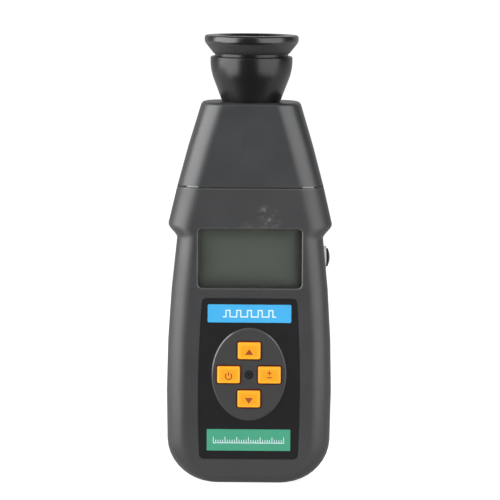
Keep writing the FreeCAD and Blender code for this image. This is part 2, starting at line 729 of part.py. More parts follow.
def cell_x(index):
    return (index - (CELL_COUNT - 1) / 2) * CELL_PITCH


def cell_is_up(index):
    """Every second cell stands with its nub up."""
    return index % 2 == 0


def bay_walls():
    """The walls and floor of the battery bay, whose ends and sides run back into the case's rear wall."""
    wide, low, high = BAY_HALF_WIDTH, BAY_LOW_Z, BAY_HIGH_Z
    outer = box(-wide - BAY_SIDE_WALL, wide + BAY_SIDE_WALL, 0, FAR, low - BAY_END_WALL, high + BAY_END_WALL)
    held = outer.common(case_form(WALL / 2, WALL / 2, SEAM_Z))
    return held.cut(box(-wide, wide, BAY_FLOOR_Y, FAR, low, high))


def cover_opening():
    """The opening that the battery cover slides in, with the channels for its tongues."""
    wide, top = COVER_HALF_WIDTH + RUN_CLEARANCE, COVER_TOP_Z + RUN_CLEARANCE
    plate = box(-wide, wide, RAIL_BED_Y, FAR, -FAR, top)
    reach = wide + COVER_TONGUE
    tongues = box(-reach, reach, RAIL_BED_Y, TONGUE_BACK_Y + FIT, -FAR, top)
    return plate.fuse(tongues)


def rear_shell(case):
    """The rear half of the case, with the battery bay, the bed of its cover and the screw wells."""
    groove = lip(WALL / 2 - CLOSE_FIT, WALL + CLOSE_FIT, LIP_HEIGHT + 2 * CLOSE_FIT)
    shell = rear_half(case).cut([groove, reveal()])
    solids = [bay_walls().cut(groove)]
    cuts = [cover_opening(), side_hole(), button_seat()]
    for x, z in case_pillars():
        solids.append(post_y(x, z, BOARD_BACK_Y, BACK_Y - WALL / 2, CASE_PILLAR_RADIUS))
        cuts.append(rod_y(x, z, CASE_SEAT_Y, FAR, CASE_HEAD_RADIUS + 2 * CLOSE_FIT))
        cuts.append(rod_y(x, z, BOARD_BACK_Y, CASE_SEAT_Y, CASE_SCREW_RADIUS + CLOSE_FIT))
    neck_inner_y = half_depth(HEAD_SCREW_Z, NECK_INSET) - NECK_WALL / 2
    for x in (-HEAD_SCREW_X, HEAD_SCREW_X):
        tip = HEAD_SCREW_SEAT_Y - HEAD_SCREW_LENGTH
        solids.append(post_y(x, HEAD_SCREW_Z, tip - 1, neck_inner_y, HEAD_BOSS_RADIUS))
        cuts.append(rod_y(x, HEAD_SCREW_Z, tip - FIT, FAR, HEAD_SCREW_RADIUS + CLOSE_FIT))
    for x in (cell_x(0), cell_x(CELL_COUNT - 1)):
        cuts.append(rod_y(x, CONTACT_MID_Z, 0, CONTACT_FOOT_Y, LEAD_RADIUS + CLOSE_FIT))
    return shell.fuse(solids).cut(cuts).removeSplitter()


def battery_cover():
    """The sliding cover: a slice of the case's back with rails, hooks at the top and a ridged thumb grip."""
    wide = COVER_HALF_WIDTH
    low, high = BAY_LOW_Z, COVER_TOP_Z
    skin = case_form(0, 0, SEAM_Z)
    cover = skin.common(box(-wide, wide, COVER_INNER_Y, FAR, -FAR, high))
    foot = skin.cut(case_form(WALL, WALL, SEAM_Z + WALL)).common(box(-wide, wide, TONGUE_FRONT_Y, FAR, -FAR, low))
    solids = [foot]
    for side in (-1, 1):
        edge = side * COVER_HALF_WIDTH
        root = edge - side * COVER_RAIL_WIDTH
        tip = edge + side * COVER_TONGUE
        solids.append(box(min(root, edge), max(root, edge), TONGUE_FRONT_Y, COVER_INNER_Y, low, high))
        solids.append(box(min(root, tip), max(root, tip), TONGUE_FRONT_Y, TONGUE_BACK_Y, low, high))
    for index in range(CELL_COUNT - 1):
        x = cell_x(index) + CELL_PITCH / 2
        left, right = x - COVER_HOOK_WIDTH / 2, x + COVER_HOOK_WIDTH / 2
        solids.append(box(left, right, HOOK_FRONT_Y, COVER_INNER_Y, high - COVER_HOOK_ROOT, high))
        solids.append(box(left, right, HOOK_FRONT_Y, HOOK_BACK_Y, high - COVER_HOOK_ROOT, high + COVER_TONGUE))
    thumb_z = COVER_TOP_Z - THUMB_DROP
    floor_y = BACK_Y - THUMB_DEPTH
    grip = front_plate(THUMB_HALF_WIDTH, thumb_z, thumb_z + THUMB_HEIGHT, THUMB_CORNER_RADIUS, floor_y, FAR)
    ridges = []
    pitch = THUMB_HEIGHT / (THUMB_RIDGES + 1)
    for index in range(THUMB_RIDGES):
        z = thumb_z + pitch * (index + 1)
        reach = THUMB_HALF_WIDTH - THUMB_CORNER_RADIUS
        half = THUMB_RIDGE_WIDTH / 2
        ridges.append(box(-reach, reach, floor_y - FIT, floor_y + THUMB_RIDGE_HEIGHT, z - half, z + half))
    return cover.fuse(solids).cut(grip).fuse(ridges).removeSplitter()


def head_cover():
    """The tapered cap over the neck that carries the lamp."""
    head = case_form(0, HEAD_LOW_Z, HEAD_TOP_Z)
    inner = case_form(WALL, HEAD_LOW_Z - WALL, HEAD_ROOF_Z)
    rebate = case_form(SEAM_COLLAR_INSET - CLOSE_FIT, HEAD_LOW_Z - WALL, SEAM_Z + SEAM_COLLAR_HEIGHT + CLOSE_FIT)
    cuts = [inner, rebate]
    cuts.append(rod(point(0, 0, HEAD_ROOF_Z - WALL), point(0, 0, HEAD_TOP_Z + WALL), BOWL_NECK_RADIUS + CLOSE_FIT))
    for x in (-HEAD_SCREW_X, HEAD_SCREW_X):
        cuts.append(rod_y(x, HEAD_SCREW_Z, 0, FAR, HEAD_SCREW_RADIUS + CLOSE_FIT))
        cuts.append(rod_y(x, HEAD_SCREW_Z, HEAD_SCREW_SEAT_Y, FAR, HEAD_SCREW_HEAD_RADIUS + CLOSE_FIT * 2))
    return head.cut(cuts).removeSplitter()


def lamp_bowl():
    """The glossy bowl that holds the lamp, with its threaded neck and the spigot for the lens ring."""
    low_z, high_z = HEAD_TOP_Z + BOWL_LOW_HEIGHT, HEAD_TOP_Z + BOWL_HIGH_HEIGHT
    outside = lathe(
        (
            (0, HEAD_TOP_Z - BOWL_NECK_LENGTH),
            (BOWL_NECK_RADIUS, HEAD_TOP_Z - BOWL_NECK_LENGTH),
            (BOWL_NECK_RADIUS, HEAD_TOP_Z),
            (BOWL_BASE_RADIUS, HEAD_TOP_Z),
            (BOWL_LOW_RADIUS, low_z),
            (BOWL_HIGH_RADIUS, high_z),
            (BOWL_RIM_RADIUS, LEDGE_Z - BOWL_EDGE),
            (BOWL_RIM_RADIUS - BOWL_EDGE, LEDGE_Z),
            (SPIGOT_RADIUS, LEDGE_Z),
            (SPIGOT_RADIUS, SPIGOT_TOP_Z),
            (0, SPIGOT_TOP_Z),
        )
    )
    inside = facet_lathe(
        (
            (0, SOCKET_LOW_Z),
            (BOWL_BASE_RADIUS - BOWL_WALL, SOCKET_LOW_Z),
            (SPIGOT_BORE, high_z),
            (SPIGOT_BORE, SPIGOT_TOP_Z + WALL),
            (0, SPIGOT_TOP_Z + WALL),
        )
    )
    neck = rod(point(0, 0, -FAR), point(0, 0, SPIGOT_TOP_Z), BOWL_NECK_BORE)
    return outside.cut(inside).cut(neck)


def lens_ring():
    """The ring that screws over the bowl's spigot and holds the lens."""
    bore = SPIGOT_RADIUS + CLOSE_FIT
    middle_radius = (RING_FOOT_RADIUS + RING_RADIUS) / 2 + RING_CONE_BULGE
    return lathe(
        (
            (bore, RING_LOW_Z),
            (RING_FOOT_RADIUS, RING_LOW_Z),
            (middle_radius, (RING_LOW_Z + RING_BAND_Z) / 2),
            (RING_RADIUS, RING_BAND_Z),
            (RING_RADIUS, RING_TOP_Z - RING_EDGE),
            (RING_RADIUS - RING_EDGE, RING_TOP_Z),
            (MOUTH_RADIUS + RING_CHAMFER, RING_TOP_Z),
            (MOUTH_RADIUS, RING_TOP_Z - RING_CHAMFER),
            (MOUTH_RADIUS, LENS_TOP_Z + CLOSE_FIT),
            (bore, LENS_TOP_Z + CLOSE_FIT),
        )
    )


def lamp_lens():
    """The clear front of the lamp."""
    return rod(point(0, 0, LENS_LOW_Z), point(0, 0, LENS_TOP_Z), LENS_RADIUS)


def reflector():
    """The thin bright bowl round the flash tube, which hangs from the spigot by its flange."""
    waist_z = REFLECTOR_LOW_Z + REFLECTOR_WAIST_HEIGHT
    sheet = REFLECTOR_SHEET
    return facet_lathe(
        (
            (REFLECTOR_BASE_RADIUS, REFLECTOR_LOW_Z),
            (REFLECTOR_BASE_RADIUS + sheet, REFLECTOR_LOW_Z),
            (REFLECTOR_WAIST_RADIUS + sheet, waist_z),
            (REFLECTOR_MOUTH_RADIUS + sheet, SPIGOT_TOP_Z),
            (REFLECTOR_FLANGE_RADIUS, SPIGOT_TOP_Z),
            (REFLECTOR_FLANGE_RADIUS, REFLECTOR_TOP_Z),
            (REFLECTOR_MOUTH_RADIUS, REFLECTOR_TOP_Z),
            (REFLECTOR_WAIST_RADIUS, waist_z),
        )
    )


def lamp_socket():
    """The ceramic block that carries the flash tube's posts."""
    foot_z, stem = SOCKET_LOW_Z - SOCKET_STEM_LENGTH, BOWL_NECK_BORE - CLOSE_FIT
    return facet_lathe(
        (
            (0, foot_z),
            (stem, foot_z),
            (stem, SOCKET_LOW_Z),
            (SOCKET_RADIUS, SOCKET_LOW_Z),
            (SOCKET_RADIUS, SOCKET_TOP_Z),
            (0, SOCKET_TOP_Z),
        )
    )


def flash_tube():
    """The glass tube across the reflector's focus."""
    end = X_AXIS * FLASH_TUBE_HALF_LENGTH
    middle = point(0, 0, FLASH_TUBE_Z)
    return pipe(middle - end, middle + end, FLASH_TUBE_RADIUS, FLASH_TUBE_BORE)


def tube_caps():
    """The metal caps on the tube's ends, each with its electrode inside the glass."""
    solids = []
    for side in (-1, 1):
        end = point(side * FLASH_TUBE_HALF_LENGTH, 0, FLASH_TUBE_Z)
        outward = X_AXIS * side
        cap = rod(end, end + outward * TUBE_CAP_LENGTH, FLASH_TUBE_RADIUS)
        solids.append(fused(cap, rod(end - outward * ELECTRODE_LENGTH, end, ELECTRODE_RADIUS)))
    return Part.makeCompound(solids)


def tube_posts():
    """The two posts that hold the caps and carry the current up from the socket."""
    solids = []
    for side in (-1, 1):
        x = side * (FLASH_TUBE_HALF_LENGTH + TUBE_CAP_LENGTH / 2)
        half = TUBE_POST_WIDTH / 2
        post = box(x - half, x + half, -half, half, SOCKET_TOP_Z, FLASH_TUBE_Z)
        solids.append(post.cut(rod(point(-FAR, 0, FLASH_TUBE_Z), point(FAR, 0, FLASH_TUBE_Z), FLASH_TUBE_RADIUS)))
    return Part.makeCompound(solids)


def trigger_wire():
    """The strip along the underside of the glass that starts each flash, on its own thin post."""
    top = FLASH_TUBE_Z - FLASH_TUBE_RADIUS
    low = top - TRIGGER_STRIP_THICKNESS
    reach, half = FLASH_TUBE_HALF_LENGTH - FIT, TRIGGER_STRIP_THICKNESS / 2
    strip = box(-reach, reach, -half, half, low, top)
    return fused(strip, box(-half, half, -half, half, SOCKET_TOP_Z, low))


def bowl_nut():
    """The ring nut under the head's roof that holds the bowl."""
    bore, foot_z = BOWL_NECK_RADIUS + 2 * CLOSE_FIT, HEAD_ROOF_Z - NUT_HEIGHT
    return facet_lathe(((bore, foot_z), (NUT_RADIUS, foot_z), (NUT_RADIUS, HEAD_ROOF_Z), (bore, HEAD_ROOF_Z)))


def key(name):
    """A key cap with its chamfered face, the flange that keeps it in and its stem."""
    x, z = KEY_PLACES[name]
    z += KEYPAD_MID_Z
    half, high, corner = KEY_WIDTH / 2, KEY_HEIGHT / 2, KEY_CORNER_RADIUS
    step = KEY_CHAMFER
    top_loop = front_loop(half - step, z - high + step, z + high - step, corner - step / 2, KEY_FRONT_Y, x)
    edge_loop = front_loop(half, z - high, z + high, corner, KEY_FRONT_Y + step, x)
    top = Part.makeLoft([top_loop, edge_loop], True, True)
    body = front_plate(half, z - high, z + high, corner, KEY_FRONT_Y + step, FLANGE_BACK_Y, x)
    rim = KEY_FLANGE + KEY_GAP
    flange = box(x - half - rim, x + half + rim, FLANGE_FRONT_Y, FLANGE_BACK_Y, z - high - rim, z + high + rim)
    side = KEY_STEM_HALF_SIDE
    stem = box(x - side, x + side, FLANGE_BACK_Y - step, PLUNGER_FRONT_Y, z - side, z + side)
    return fused(top, body, flange, stem)


def key_plunger(name):
    """The square plunger of the push switch behind a key."""
    x, z = KEY_PLACES[name]
    z += KEYPAD_MID_Z
    half = PLUNGER_HALF_SIDE
    return box(x - half, x + half, PLUNGER_FRONT_Y, SWITCH_FRONT_Y + PLUNGER_DEPTH, z - half, z + half)


def switch_body(x, z):
    """The square body of a push switch, with the well that its plunger moves in."""
    half = SWITCH_HALF_SIDE
    body = box(x - half, x + half, SWITCH_FRONT_Y, BOARD_FRONT_Y, z - half, z + half)
    inner = PLUNGER_HALF_SIDE + CLOSE_FIT
    well = box(x - inner, x + inner, SWITCH_FRONT_Y, SWITCH_FRONT_Y + PLUNGER_WELL_DEPTH, z - inner, z + inner)
    return body.cut(well)


def key_switches():
    return Part.makeCompound([switch_body(x, KEYPAD_MID_Z + z) for x, z in KEY_PLACES.values()])


def screw(seat, axis, head_radius, head_height, radius, length):
    """A round-headed screw. The seat is the middle of the plane under the head, and the axis points out of the head."""
    return fused(rod(seat, seat + axis * head_height, head_radius), rod(seat - axis * length, seat, radius))


def case_screws():
    """The four long screws through the rear shell and the board into the front shell's posts."""
    solids = []
    for x, z in case_pillars():
        seat = point(x, CASE_SEAT_Y, z)
        solids.append(
            screw(seat, Y_AXIS, CASE_HEAD_RADIUS, CASE_HEAD_HEIGHT, CASE_SCREW_RADIUS, CASE_SCREW_LENGTH)
        )
    return Part.makeCompound(solids)


def head_screws():
    """The two screws that hold the head cover to the neck."""
    solids = []
    for x in (-HEAD_SCREW_X, HEAD_SCREW_X):
        seat = point(x, HEAD_SCREW_SEAT_Y, HEAD_SCREW_Z)
        height = HEAD_SCREW_HEAD_HEIGHT
        solids.append(screw(seat, Y_AXIS, HEAD_SCREW_HEAD_RADIUS, height, HEAD_SCREW_RADIUS, HEAD_SCREW_LENGTH))
    return Part.makeCompound(solids)


def board_screws():
    """The two short screws that hold the board's foot."""
    solids = []
    for x, z in low_posts():
        seat = point(x, BOARD_BACK_Y, z)
        height = BOARD_SCREW_HEAD_HEIGHT
        solids.append(screw(seat, Y_AXIS, BOARD_SCREW_HEAD_RADIUS, height, BOARD_SCREW_RADIUS, BOARD_SCREW_LENGTH))
    return Part.makeCompound(solids)


def centre_screw():
    """The small screw in the recess between the keys, long enough to take its nut behind the board."""
    seat = point(0, ISLAND_Y + CENTRE_RECESS_DEPTH, KEYPAD_MID_Z)
    length = BOARD_BACK_Y + CENTRE_NUT_HEIGHT - seat.y
    return screw(seat, Y_AXIS * -1, CENTRE_HEAD_RADIUS, CENTRE_HEAD_HEIGHT, CENTRE_SHANK_RADIUS, length)


def centre_nut():
    """The hexagonal nut behind the board."""
    corners = []
    for turn in range(7):
        angle = math.radians(60 * turn)
        x = CENTRE_NUT_RADIUS * math.cos(angle)
        corners.append(point(x, BOARD_BACK_Y, KEYPAD_MID_Z + CENTRE_NUT_RADIUS * math.sin(angle)))
    nut = Part.Face(Part.makePolygon(corners)).extrude(Y_AXIS * CENTRE_NUT_HEIGHT)
    return nut.cut(rod_y(0, KEYPAD_MID_Z, BOARD_BACK_Y, FAR, CENTRE_SHANK_RADIUS + CLOSE_FIT))


def main_board():
    """The circuit board on its four posts, with the holes that its screws and the centre screw pass through."""
    board = box(-BOARD_HALF_WIDTH, BOARD_HALF_WIDTH, BOARD_FRONT_Y, BOARD_BACK_Y, BOARD_LOW_Z, BOARD_HIGH_Z)
    holes = [rod_y(0, KEYPAD_MID_Z, BOARD_FRONT_Y, BOARD_BACK_Y, CENTRE_SHANK_RADIUS + CLOSE_FIT)]
    for x, z in low_posts():
        holes.append(rod_y(x, z, BOARD_FRONT_Y, BOARD_BACK_Y, BOARD_SCREW_RADIUS + CLOSE_FIT))
    for x, z in case_pillars():
        holes.append(rod_y(x, z, BOARD_FRONT_Y, BOARD_BACK_Y, CASE_SCREW_RADIUS + CLOSE_FIT))
    return board.cut(holes)


def display_window():
    """The clear window behind the display's opening."""
    return front_plate(
        DISPLAY_HALF_WIDTH + WINDOW_MARGIN,
        DISPLAY_MID_Z - DISPLAY_HALF_HEIGHT - WINDOW_MARGIN,
        DISPLAY_MID_Z + DISPLAY_HALF_HEIGHT + WINDOW_MARGIN,
        DISPLAY_CORNER_RADIUS,
        WINDOW_FRONT_Y,
        WINDOW_BACK_Y,
    )


def display_block(grow, y_low, y_high, shrink_x=0.0):
    """A block as large as the display glass, or larger all round."""
    wide = DISPLAY_HALF_WIDTH + LCD_MARGIN + grow - shrink_x
    high = DISPLAY_HALF_HEIGHT + LCD_MARGIN + grow
    return box(-wide, wide, y_low, y_high, DISPLAY_MID_Z - high, DISPLAY_MID_Z + high)


def display_panel():
    """The liquid crystal glass."""
    return display_block(0, LCD_FRONT_Y, LCD_BACK_Y)


def display_frame():
    """The frame that holds the window and the glass against the board."""
    grow = CLOSE_FIT * 2
    frame = display_block(grow + LCD_FRAME_WALL, WINDOW_BACK_Y, BOARD_FRONT_Y)
    pocket = display_block(grow, WINDOW_BACK_Y, LCD_BACK_Y)
    well = display_block(grow, LCD_BACK_Y, BOARD_FRONT_Y, LCD_LEDGE)
    return frame.cut([pocket, well])


def contact_strips():
    """The two rubber strips that join the glass to the board."""
    wide = DISPLAY_HALF_WIDTH + LCD_MARGIN - LCD_LEDGE
    reach = DISPLAY_HALF_HEIGHT + LCD_MARGIN
    solids = []
    for side in (-1, 1):
        ends = sorted((DISPLAY_MID_Z + side * reach, DISPLAY_MID_Z + side * (reach - ZEBRA_WIDTH)))
        solids.append(box(-wide, wide, LCD_BACK_Y, BOARD_FRONT_Y, ends[0], ends[1]))
    return Part.makeCompound(solids)


def keypad_label():
    """The printed overlay, with the oval opening that the keypad stands in."""
    label = label_form(-FIT / 2, LABEL_FLOOR_Y - LABEL_THICKNESS, LABEL_FLOOR_Y)
    opening = Part.Face(island_loop(FIT / 2, FRONT_Y - WALL)).extrude(Y_AXIS * 2 * WALL)
    return label.cut(opening)


def side_bezel():
    """The collar round the side button, with the flange that seats inside the wall."""
    inner, outer = BUTTON_BORE, BEZEL_RADIUS
    start = point(BEZEL_SEAT_X - BEZEL_FLANGE_THICKNESS, 0, SIDE_BUTTON_Z)
    end = point(SIDE_WALL_X + BEZEL_PROUD, 0, SIDE_BUTTON_Z)
    collar = rod(start, end, outer)
    flange = rod(start, start + X_AXIS * BEZEL_FLANGE_THICKNESS, outer + BEZEL_FLANGE)
    return fused(collar, flange).cut(rod(start, end, inner))


def side_button():
    """The domed button, with the flange that stops it behind the bezel."""
    rim_x = SIDE_WALL_X + SIDE_BUTTON_PROUD
    back_x = BUTTON_FLANGE_X - SIDE_FLANGE_THICKNESS
    radius = SIDE_BUTTON_RADIUS
    start = point(back_x, 0, SIDE_BUTTON_Z)
    flange = rod(start, start + X_AXIS * SIDE_FLANGE_THICKNESS, radius + SIDE_FLANGE)
    body = rod(start, point(rim_x, 0, SIDE_BUTTON_Z), radius)
    dome_radius = (radius ** 2 + SIDE_BUTTON_DOME ** 2) / (2 * SIDE_BUTTON_DOME)
    ball = Part.makeSphere(dome_radius, point(rim_x + SIDE_BUTTON_DOME - dome_radius, 0, SIDE_BUTTON_Z))
    dome = ball.common(rod(point(rim_x - FIT, 0, SIDE_BUTTON_Z), point(FAR, 0, SIDE_BUTTON_Z), radius))
    return fused(flange, body, dome)


def side_plunger():
    """The square plunger of the switch behind the side button."""
    half, z = PLUNGER_HALF_SIDE, SIDE_BUTTON_Z
    outer_x = BUTTON_FLANGE_X - SIDE_FLANGE_THICKNESS
    return box(SIDE_SWITCH_X - PLUNGER_DEPTH, outer_x, -half, half, z - half, z + half)


def side_switch():
    """The push switch behind the side button."""
    half, inner, z = SWITCH_HALF_SIDE, PLUNGER_HALF_SIDE + CLOSE_FIT, SIDE_BUTTON_Z
    body = box(SIDE_BOARD_X, SIDE_SWITCH_X, -half, half, z - half, z + half)
    return body.cut(box(SIDE_SWITCH_X - PLUNGER_WELL_DEPTH, SIDE_SWITCH_X, -inner, inner, z - inner, z + inner))


def side_board():
    """The small upright board that carries the side switch, soldered to the main board's back."""
    low, high = SIDE_BUTTON_Z - SIDE_BOARD_HALF_HEIGHT, SIDE_BUTTON_Z + SIDE_BOARD_HALF_HEIGHT
    back = SWITCH_HALF_SIDE + SIDE_BOARD_MARGIN
    return box(SIDE_BOARD_X - SIDE_BOARD_THICKNESS, SIDE_BOARD_X, BOARD_BACK_Y, back, low, high)


def battery_cell(index):
    """One round cell with the nub at its positive end. The other end sits on a spring."""
    x = cell_x(index)
    if cell_is_up(index):
        low = CONTACT_LOW_Z + SPRING_REACH + CLOSE_FIT
        nub_low = low + CELL_LENGTH
    else:
        nub_low = CONTACT_LOW_Z + CLOSE_FIT
        low = nub_low + NUB_LENGTH
    body = rod(point(x, CELL_Y, low), point(x, CELL_Y, low + CELL_LENGTH), CELL_RADIUS)
    nub = rod(point(x, CELL_Y, nub_low), point(x, CELL_Y, nub_low + NUB_LENGTH), NUB_RADIUS)
    return fused(body, nub)


def battery_cells():
    return Part.makeCompound([battery_cell(index) for index in range(CELL_COUNT)])


def bent_strip(path, thickness, width, bend, x_mid):
    """A flat strip that follows a path of (y, z) places, with the same bend at each place between its ends."""
    places = [point(0, y, z) for y, z in path]
    runs = [(end - start).normalize() for start, end in zip(places, places[1:])]
    half = thickness / 2
    left, right, bends = [], [], []
    for index, place in enumerate(places):
        before = runs[max(0, index - 1)]
        after = runs[min(len(runs) - 1, index)]
        across = point(0, -before.z - after.z, before.y + after.y).normalize()
        reach = half / across.dot(point(0, -after.z, after.y))
        left.append(place + across * reach)
        right.append(place - across * reach)
        if 0 < index < len(places) - 1:
            inner = half if before.cross(after).x > 0 else -half
            bends.append((left[-1], bend - inner))
            bends.append((right[-1], bend + inner))
    outline = left + right[::-1] + left[:1]
    strip = Part.Face(Part.makePolygon(outline)).extrude(X_AXIS * width)
    for corner, radius in bends:
        middle = corner + X_AXIS * (width / 2)
        edges = [e for e in strip.Edges if (e.BoundBox.Center - middle).Length < CLOSE_FIT and len(e.Vertexes) == 2]
        strip = strip.makeFillet(radius, edges)
    strip.translate(X_AXIS * (x_mid - width / 2))
    return strip


def battery_contact(first, last, at_top):
    """A contact plate for one cell or two, with a leaf spring under each flat cell end."""
    left, right = cell_x(first) - CONTACT_HALF_WIDTH, cell_x(last) + CONTACT_HALF_WIDTH
    plate_z = CONTACT_HIGH_Z if at_top else CONTACT_LOW_Z
    inward = -1 if at_top else 1
    ends = sorted((plate_z, plate_z - inward * CONTACT_THICKNESS))
    pieces = [box(left, right, CONTACT_FOOT_Y, CONTACT_TOP_Y, ends[0], ends[1])]
    for index in range(first, last + 1):
        if cell_is_up(index) != at_top:
            peak = plate_z + inward * (SPRING_REACH - CONTACT_THICKNESS / 2)
            root = plate_z - inward * CONTACT_THICKNESS / 2
            path = (
                (CELL_Y - SPRING_HALF_SPAN, root),
                (CELL_Y, peak),
                (CELL_Y + SPRING_HALF_SPAN / 2, plate_z + inward * SPRING_TAIL),
            )
            pieces.append(bent_strip(path, CONTACT_THICKNESS, SPRING_WIDTH, SPRING_BEND, cell_x(index)))
    return fused(*pieces) if len(pieces) > 1 else pieces[0]


def upper_contacts():
    """The two links at the top of the bay."""
    return Part.makeCompound([battery_contact(0, 1, True), battery_contact(2, 3, True)])


def lower_contacts():
    """The two end contacts and the link at the bottom of the bay."""
    spans = ((0, 0), (1, 2), (3, 3))
    return Part.makeCompound([battery_contact(first, last, False) for first, last in spans])


def battery_leads():
    """The two stiff wires from the end contacts to the board."""
    places = (cell_x(0), cell_x(CELL_COUNT - 1))
    return Part.makeCompound([rod_y(x, CONTACT_MID_Z, BOARD_BACK_Y, CONTACT_FOOT_Y, LEAD_RADIUS) for x in places])


def flash_capacitor():
    """The storage capacitor, lying on the board with its two legs bent down to it."""
    axis_y = BOARD_BACK_Y + CAPACITOR_RADIUS
    start = point(CAPACITOR_X, axis_y, CAPACITOR_LOW_Z)
    can = rod(start, start + Z_AXIS * CAPACITOR_LENGTH, CAPACITOR_RADIUS)
    pieces = []
    half = LEAD_RADIUS
    for side in (-1, 1):
        x = CAPACITOR_X + side * CAPACITOR_RADIUS / 3
        z = CAPACITOR_LOW_Z - CAPACITOR_LEG_REACH
        mid_y = axis_y - CAPACITOR_RADIUS / 2
        pieces.append(box(x - half, x + half, mid_y - half, mid_y + half, z, CAPACITOR_LOW_Z))
        pieces.append(box(x - half, x + half, BOARD_BACK_Y, mid_y + half, z, z + 2 * half))
    return fused(can, *pieces)


def core_y():
    return BOARD_BACK_Y + CORE_DEPTH / 2


def transformer_core():
    """The closed core of the inverter transformer, with its two windows."""
    half_thick = (CORE_DEPTH - 2 * WINDING_THICKNESS) / 2
    half, high = CORE_WIDTH / 2, CORE_HEIGHT / 2
    x, y, z = CORE_X, core_y(), CORE_MID_Z
    core = box(x - half, x + half, y - half_thick, y + half_thick, z - high, z + high)
    windows = []
    for side in (-1, 1):
        ends = sorted((x + side * CORE_LEG / 2, x + side * (half - CORE_LEG)))
        windows.append(box(ends[0], ends[1], y - FAR, y + FAR, z - high + CORE_LEG, z + high - CORE_LEG))
    return core.cut(windows)


def transformer_winding():
    """The taped coil round the core's middle leg."""
    leg = CORE_LEG / 2 + CLOSE_FIT
    thick = (CORE_DEPTH - 2 * WINDING_THICKNESS) / 2 + CLOSE_FIT
    wide = CORE_WIDTH / 2 - CORE_LEG - CLOSE_FIT
    high = CORE_HEIGHT / 2 - CORE_LEG - CLOSE_FIT
    y = core_y()
    low_y = y - CORE_DEPTH / 2
    coil = box(CORE_X - wide, CORE_X + wide, low_y, low_y + CORE_DEPTH, CORE_MID_Z - high, CORE_MID_Z + high)
    upright = [e for e in coil.Edges if abs(e.BoundBox.ZLength - 2 * high) < CLOSE_FIT]
    coil = coil.makeFillet(WINDING_ROUNDING, upright)
    bore = box(CORE_X - leg, CORE_X + leg, y - thick, y + thick, CORE_MID_Z - FAR, CORE_MID_Z + FAR)
    return coil.cut(bore)


def trigger_coil():
    """The small high-voltage coil on its flanged bobbin."""
    axis_y = BOARD_BACK_Y + TRIGGER_COIL_RADIUS
    low = point(TRIGGER_COIL_X, axis_y, TRIGGER_COIL_LOW_Z)
    high = low + Z_AXIS * TRIGGER_COIL_LENGTH
    flange = Z_AXIS * TRIGGER_COIL_FLANGE
    winding = rod(low, high, TRIGGER_COIL_RADIUS - TRIGGER_COIL_FLANGE)
    return fused(winding, rod(low, low + flange, TRIGGER_COIL_RADIUS), rod(high - flange, high, TRIGGER_COIL_RADIUS))


def controller_chip():
    """The flat chip with its frame of leads on the board."""
    half = CHIP_SIDE / 2
    low = BOARD_BACK_Y
    leads = box(CHIP_X - half, CHIP_X + half, low, low + CHIP_LEAD, CHIP_MID_Z - half, CHIP_MID_Z + half)
    body_half = half - CHIP_MARGIN
    body = box(
        CHIP_X - body_half,
        CHIP_X + body_half,
        low,
        low + CHIP_HEIGHT,
        CHIP_MID_Z - body_half,
        CHIP_MID_Z + body_half,
    )
    return fused(leads, body)


def crystal():
    """The crystal's can, with its rounded ends."""
    half = CRYSTAL_LENGTH / 2
    low, high = CRYSTAL_MID_Z - CRYSTAL_WIDTH / 2, CRYSTAL_MID_Z + CRYSTAL_WIDTH / 2
    back = BOARD_BACK_Y + CRYSTAL_HEIGHT
    return front_plate(half, low, high, CRYSTAL_WIDTH / 2 - CLOSE_FIT, BOARD_BACK_Y, back, CRYSTAL_X)


def lamp_connector():
    """The socket on the board for the lamp's ribbon."""
    half, inner = CONNECTOR_HALF_WIDTH, RIBBON_WIDTH / 2 + CLOSE_FIT
    y = BOARD_BACK_Y + CONNECTOR_DEPTH / 2
    thick = RIBBON_THICKNESS / 2 + CLOSE_FIT
    low, high = CONNECTOR_LOW_Z, CONNECTOR_HIGH_Z
    block = box(-half, half, BOARD_BACK_Y, BOARD_BACK_Y + CONNECTOR_DEPTH, low, high)
    return block.cut(box(-inner, inner, y - thick, y + thick, (low + high) / 2, high))


def lamp_ribbon():
    """The flat lead from the lamp's socket down to the board."""
    y = BOARD_BACK_Y + CONNECTOR_DEPTH / 2
    path = (
        (0, SOCKET_LOW_Z - SOCKET_STEM_LENGTH),
        (0, RIBBON_STEP_HIGH_Z),
        (y, RIBBON_STEP_LOW_Z),
        (y, (CONNECTOR_LOW_Z + CONNECTOR_HIGH_Z) / 2),
    )
    return bent_strip(path, RIBBON_THICKNESS, RIBBON_WIDTH, RIBBON_BEND, 0)


